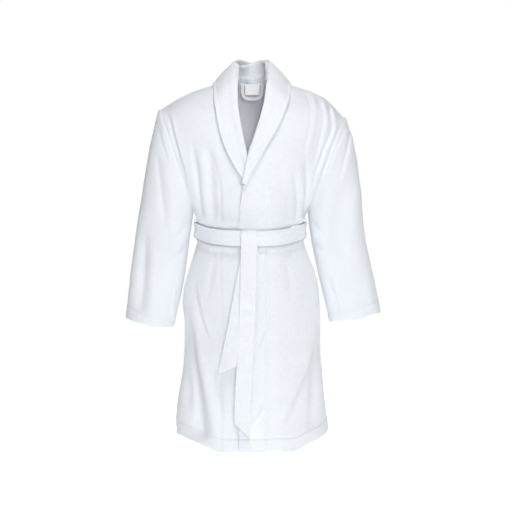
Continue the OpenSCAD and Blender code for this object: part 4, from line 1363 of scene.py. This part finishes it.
# ---- Stage ----
def build_stage():
    white = Finish("floor_paper")
    where = white.node("ShaderNodeTexCoord")[3]
    grain = white.noise(where, 3.0, 4)
    paper = white.ramp(grain, ((0.3, (0.93, 0.93, 0.93)), (0.7, (0.95, 0.95, 0.95))))
    white.end(paper, 0.9, grain, 0.02, 0.001, Emission_Color=(1, 1, 1, 1), Emission_Strength=0.8)
    floor = link("floor", bpy.data.meshes.new("floor"))
    edge = bmesh.new()
    bmesh.ops.create_circle(edge, cap_ends=True, segments=96, radius=2.4)
    bmesh.ops.translate(edge, verts=edge.verts, vec=(0, 0, -1.5))
    edge.to_mesh(floor.data)
    edge.free()
    floor.data.materials.append(white.material)
    # a plain white surround that shows behind the robe and lights nothing
    glow = bpy.data.materials.new("surround_white")
    glow.use_nodes = True
    glow.node_tree.nodes.clear()
    out = glow.node_tree.nodes.new("ShaderNodeOutputMaterial")
    shine = glow.node_tree.nodes.new("ShaderNodeEmission")
    glow.node_tree.links.new(shine.outputs[0], out.inputs[0])
    dome = link("backdrop", bpy.data.meshes.new("backdrop"))
    round_room = bmesh.new()
    bmesh.ops.create_uvsphere(round_room, u_segments=48, v_segments=24, radius=13.5)
    round_room.to_mesh(dome.data)
    round_room.free()
    dome.data.materials.append(glow)
    for ray in ("visible_diffuse", "visible_glossy", "visible_transmission", "visible_volume_scatter", "visible_shadow"):
        setattr(dome, ray, False)
    world = bpy.data.worlds.new("studio")
    world.use_nodes = True
    world.node_tree.nodes["Background"].inputs["Color"].default_value = (0.93, 0.96, 1.0, 1)
    world.node_tree.nodes["Background"].inputs["Strength"].default_value = 0.17
    bpy.context.scene.world = world
    for name, where, aim, size, power in (("key", (0.75, -4.1, 0.8), (0, 0, -0.55), 1.1, 46),
                                          ("fill", (0.05, -3.8, -0.02), (0, 0, -0.5), 0.5, 34),
                                          ("top", (0.1, -1.35, 1.9), (0, 0, -0.1), 1.0, 22),
                                          ("neck", (0.0, -0.8, 0.75), (0, 0.03, 0), 0.2, 1.1),
                                          ("back", (0.4, 3.8, 1.2), (0, 0, -0.5), 3.0, 98)):
        lamp = bpy.data.lights.new(name, "AREA")
        lamp.shape, lamp.size, lamp.energy = "DISK", size, power
        lamp.color = (1.0, 0.99, 0.98)
        obj = bpy.data.objects.new(name, lamp)
        bpy.context.scene.collection.objects.link(obj)
        obj.location = where
        obj.rotation_euler = (Vector(aim) - Vector(where)).to_track_quat("-Z", "Y").to_euler()
    camera = bpy.data.cameras.new("camera")
    camera.sensor_width, camera.lens = 36.0, 72.33
    eye = bpy.data.objects.new("camera", camera)
    bpy.context.scene.collection.objects.link(eye)
    eye.location = (0.011, -3.125, -0.083)
    eye.rotation_euler = (math.radians(82), 0, 0)
    bpy.context.scene.camera = eye
    bpy.context.scene.view_settings.view_transform = "Standard"


OPERATORS = (ROBE_OT_back, ROBE_OT_fronts, ROBE_OT_facings, ROBE_OT_sleeves, ROBE_OT_collar, ROBE_OT_neck,
             ROBE_OT_belt, ROBE_OT_stitching, ROBE_OT_stage)


class ROBE_PT_panel(bpy.types.Panel):
    """The robe's sizes, colours and pieces"""

    bl_label = "Bathrobe"
    bl_space_type = "VIEW_3D"
    bl_region_type = "UI"
    bl_category = "Robe"

    def draw(self, context):
        for group in (context.scene.robe_sizes, context.scene.robe_colours):
            box = self.layout.box()
            for name in group.__annotations__:
                box.prop(group, name)
        for operator in OPERATORS:
            self.layout.operator(operator.bl_idname)


def register():
    for cls in (RobeSizes, RobeColours, *OPERATORS, ROBE_PT_panel):
        bpy.utils.register_class(cls)
    bpy.types.Scene.robe_sizes = bpy.props.PointerProperty(type=RobeSizes)
    bpy.types.Scene.robe_colours = bpy.props.PointerProperty(type=RobeColours)


def unregister():
    del bpy.types.Scene.robe_colours
    del bpy.types.Scene.robe_sizes
    for cls in (ROBE_PT_panel, *reversed(OPERATORS), RobeColours, RobeSizes):
        bpy.utils.unregister_class(cls)


def main():
    register()
    for operator in OPERATORS:
        group, name = operator.bl_idname.split(".")
        getattr(getattr(bpy.ops, group), name)()


if __name__ == "__main__":
    main()
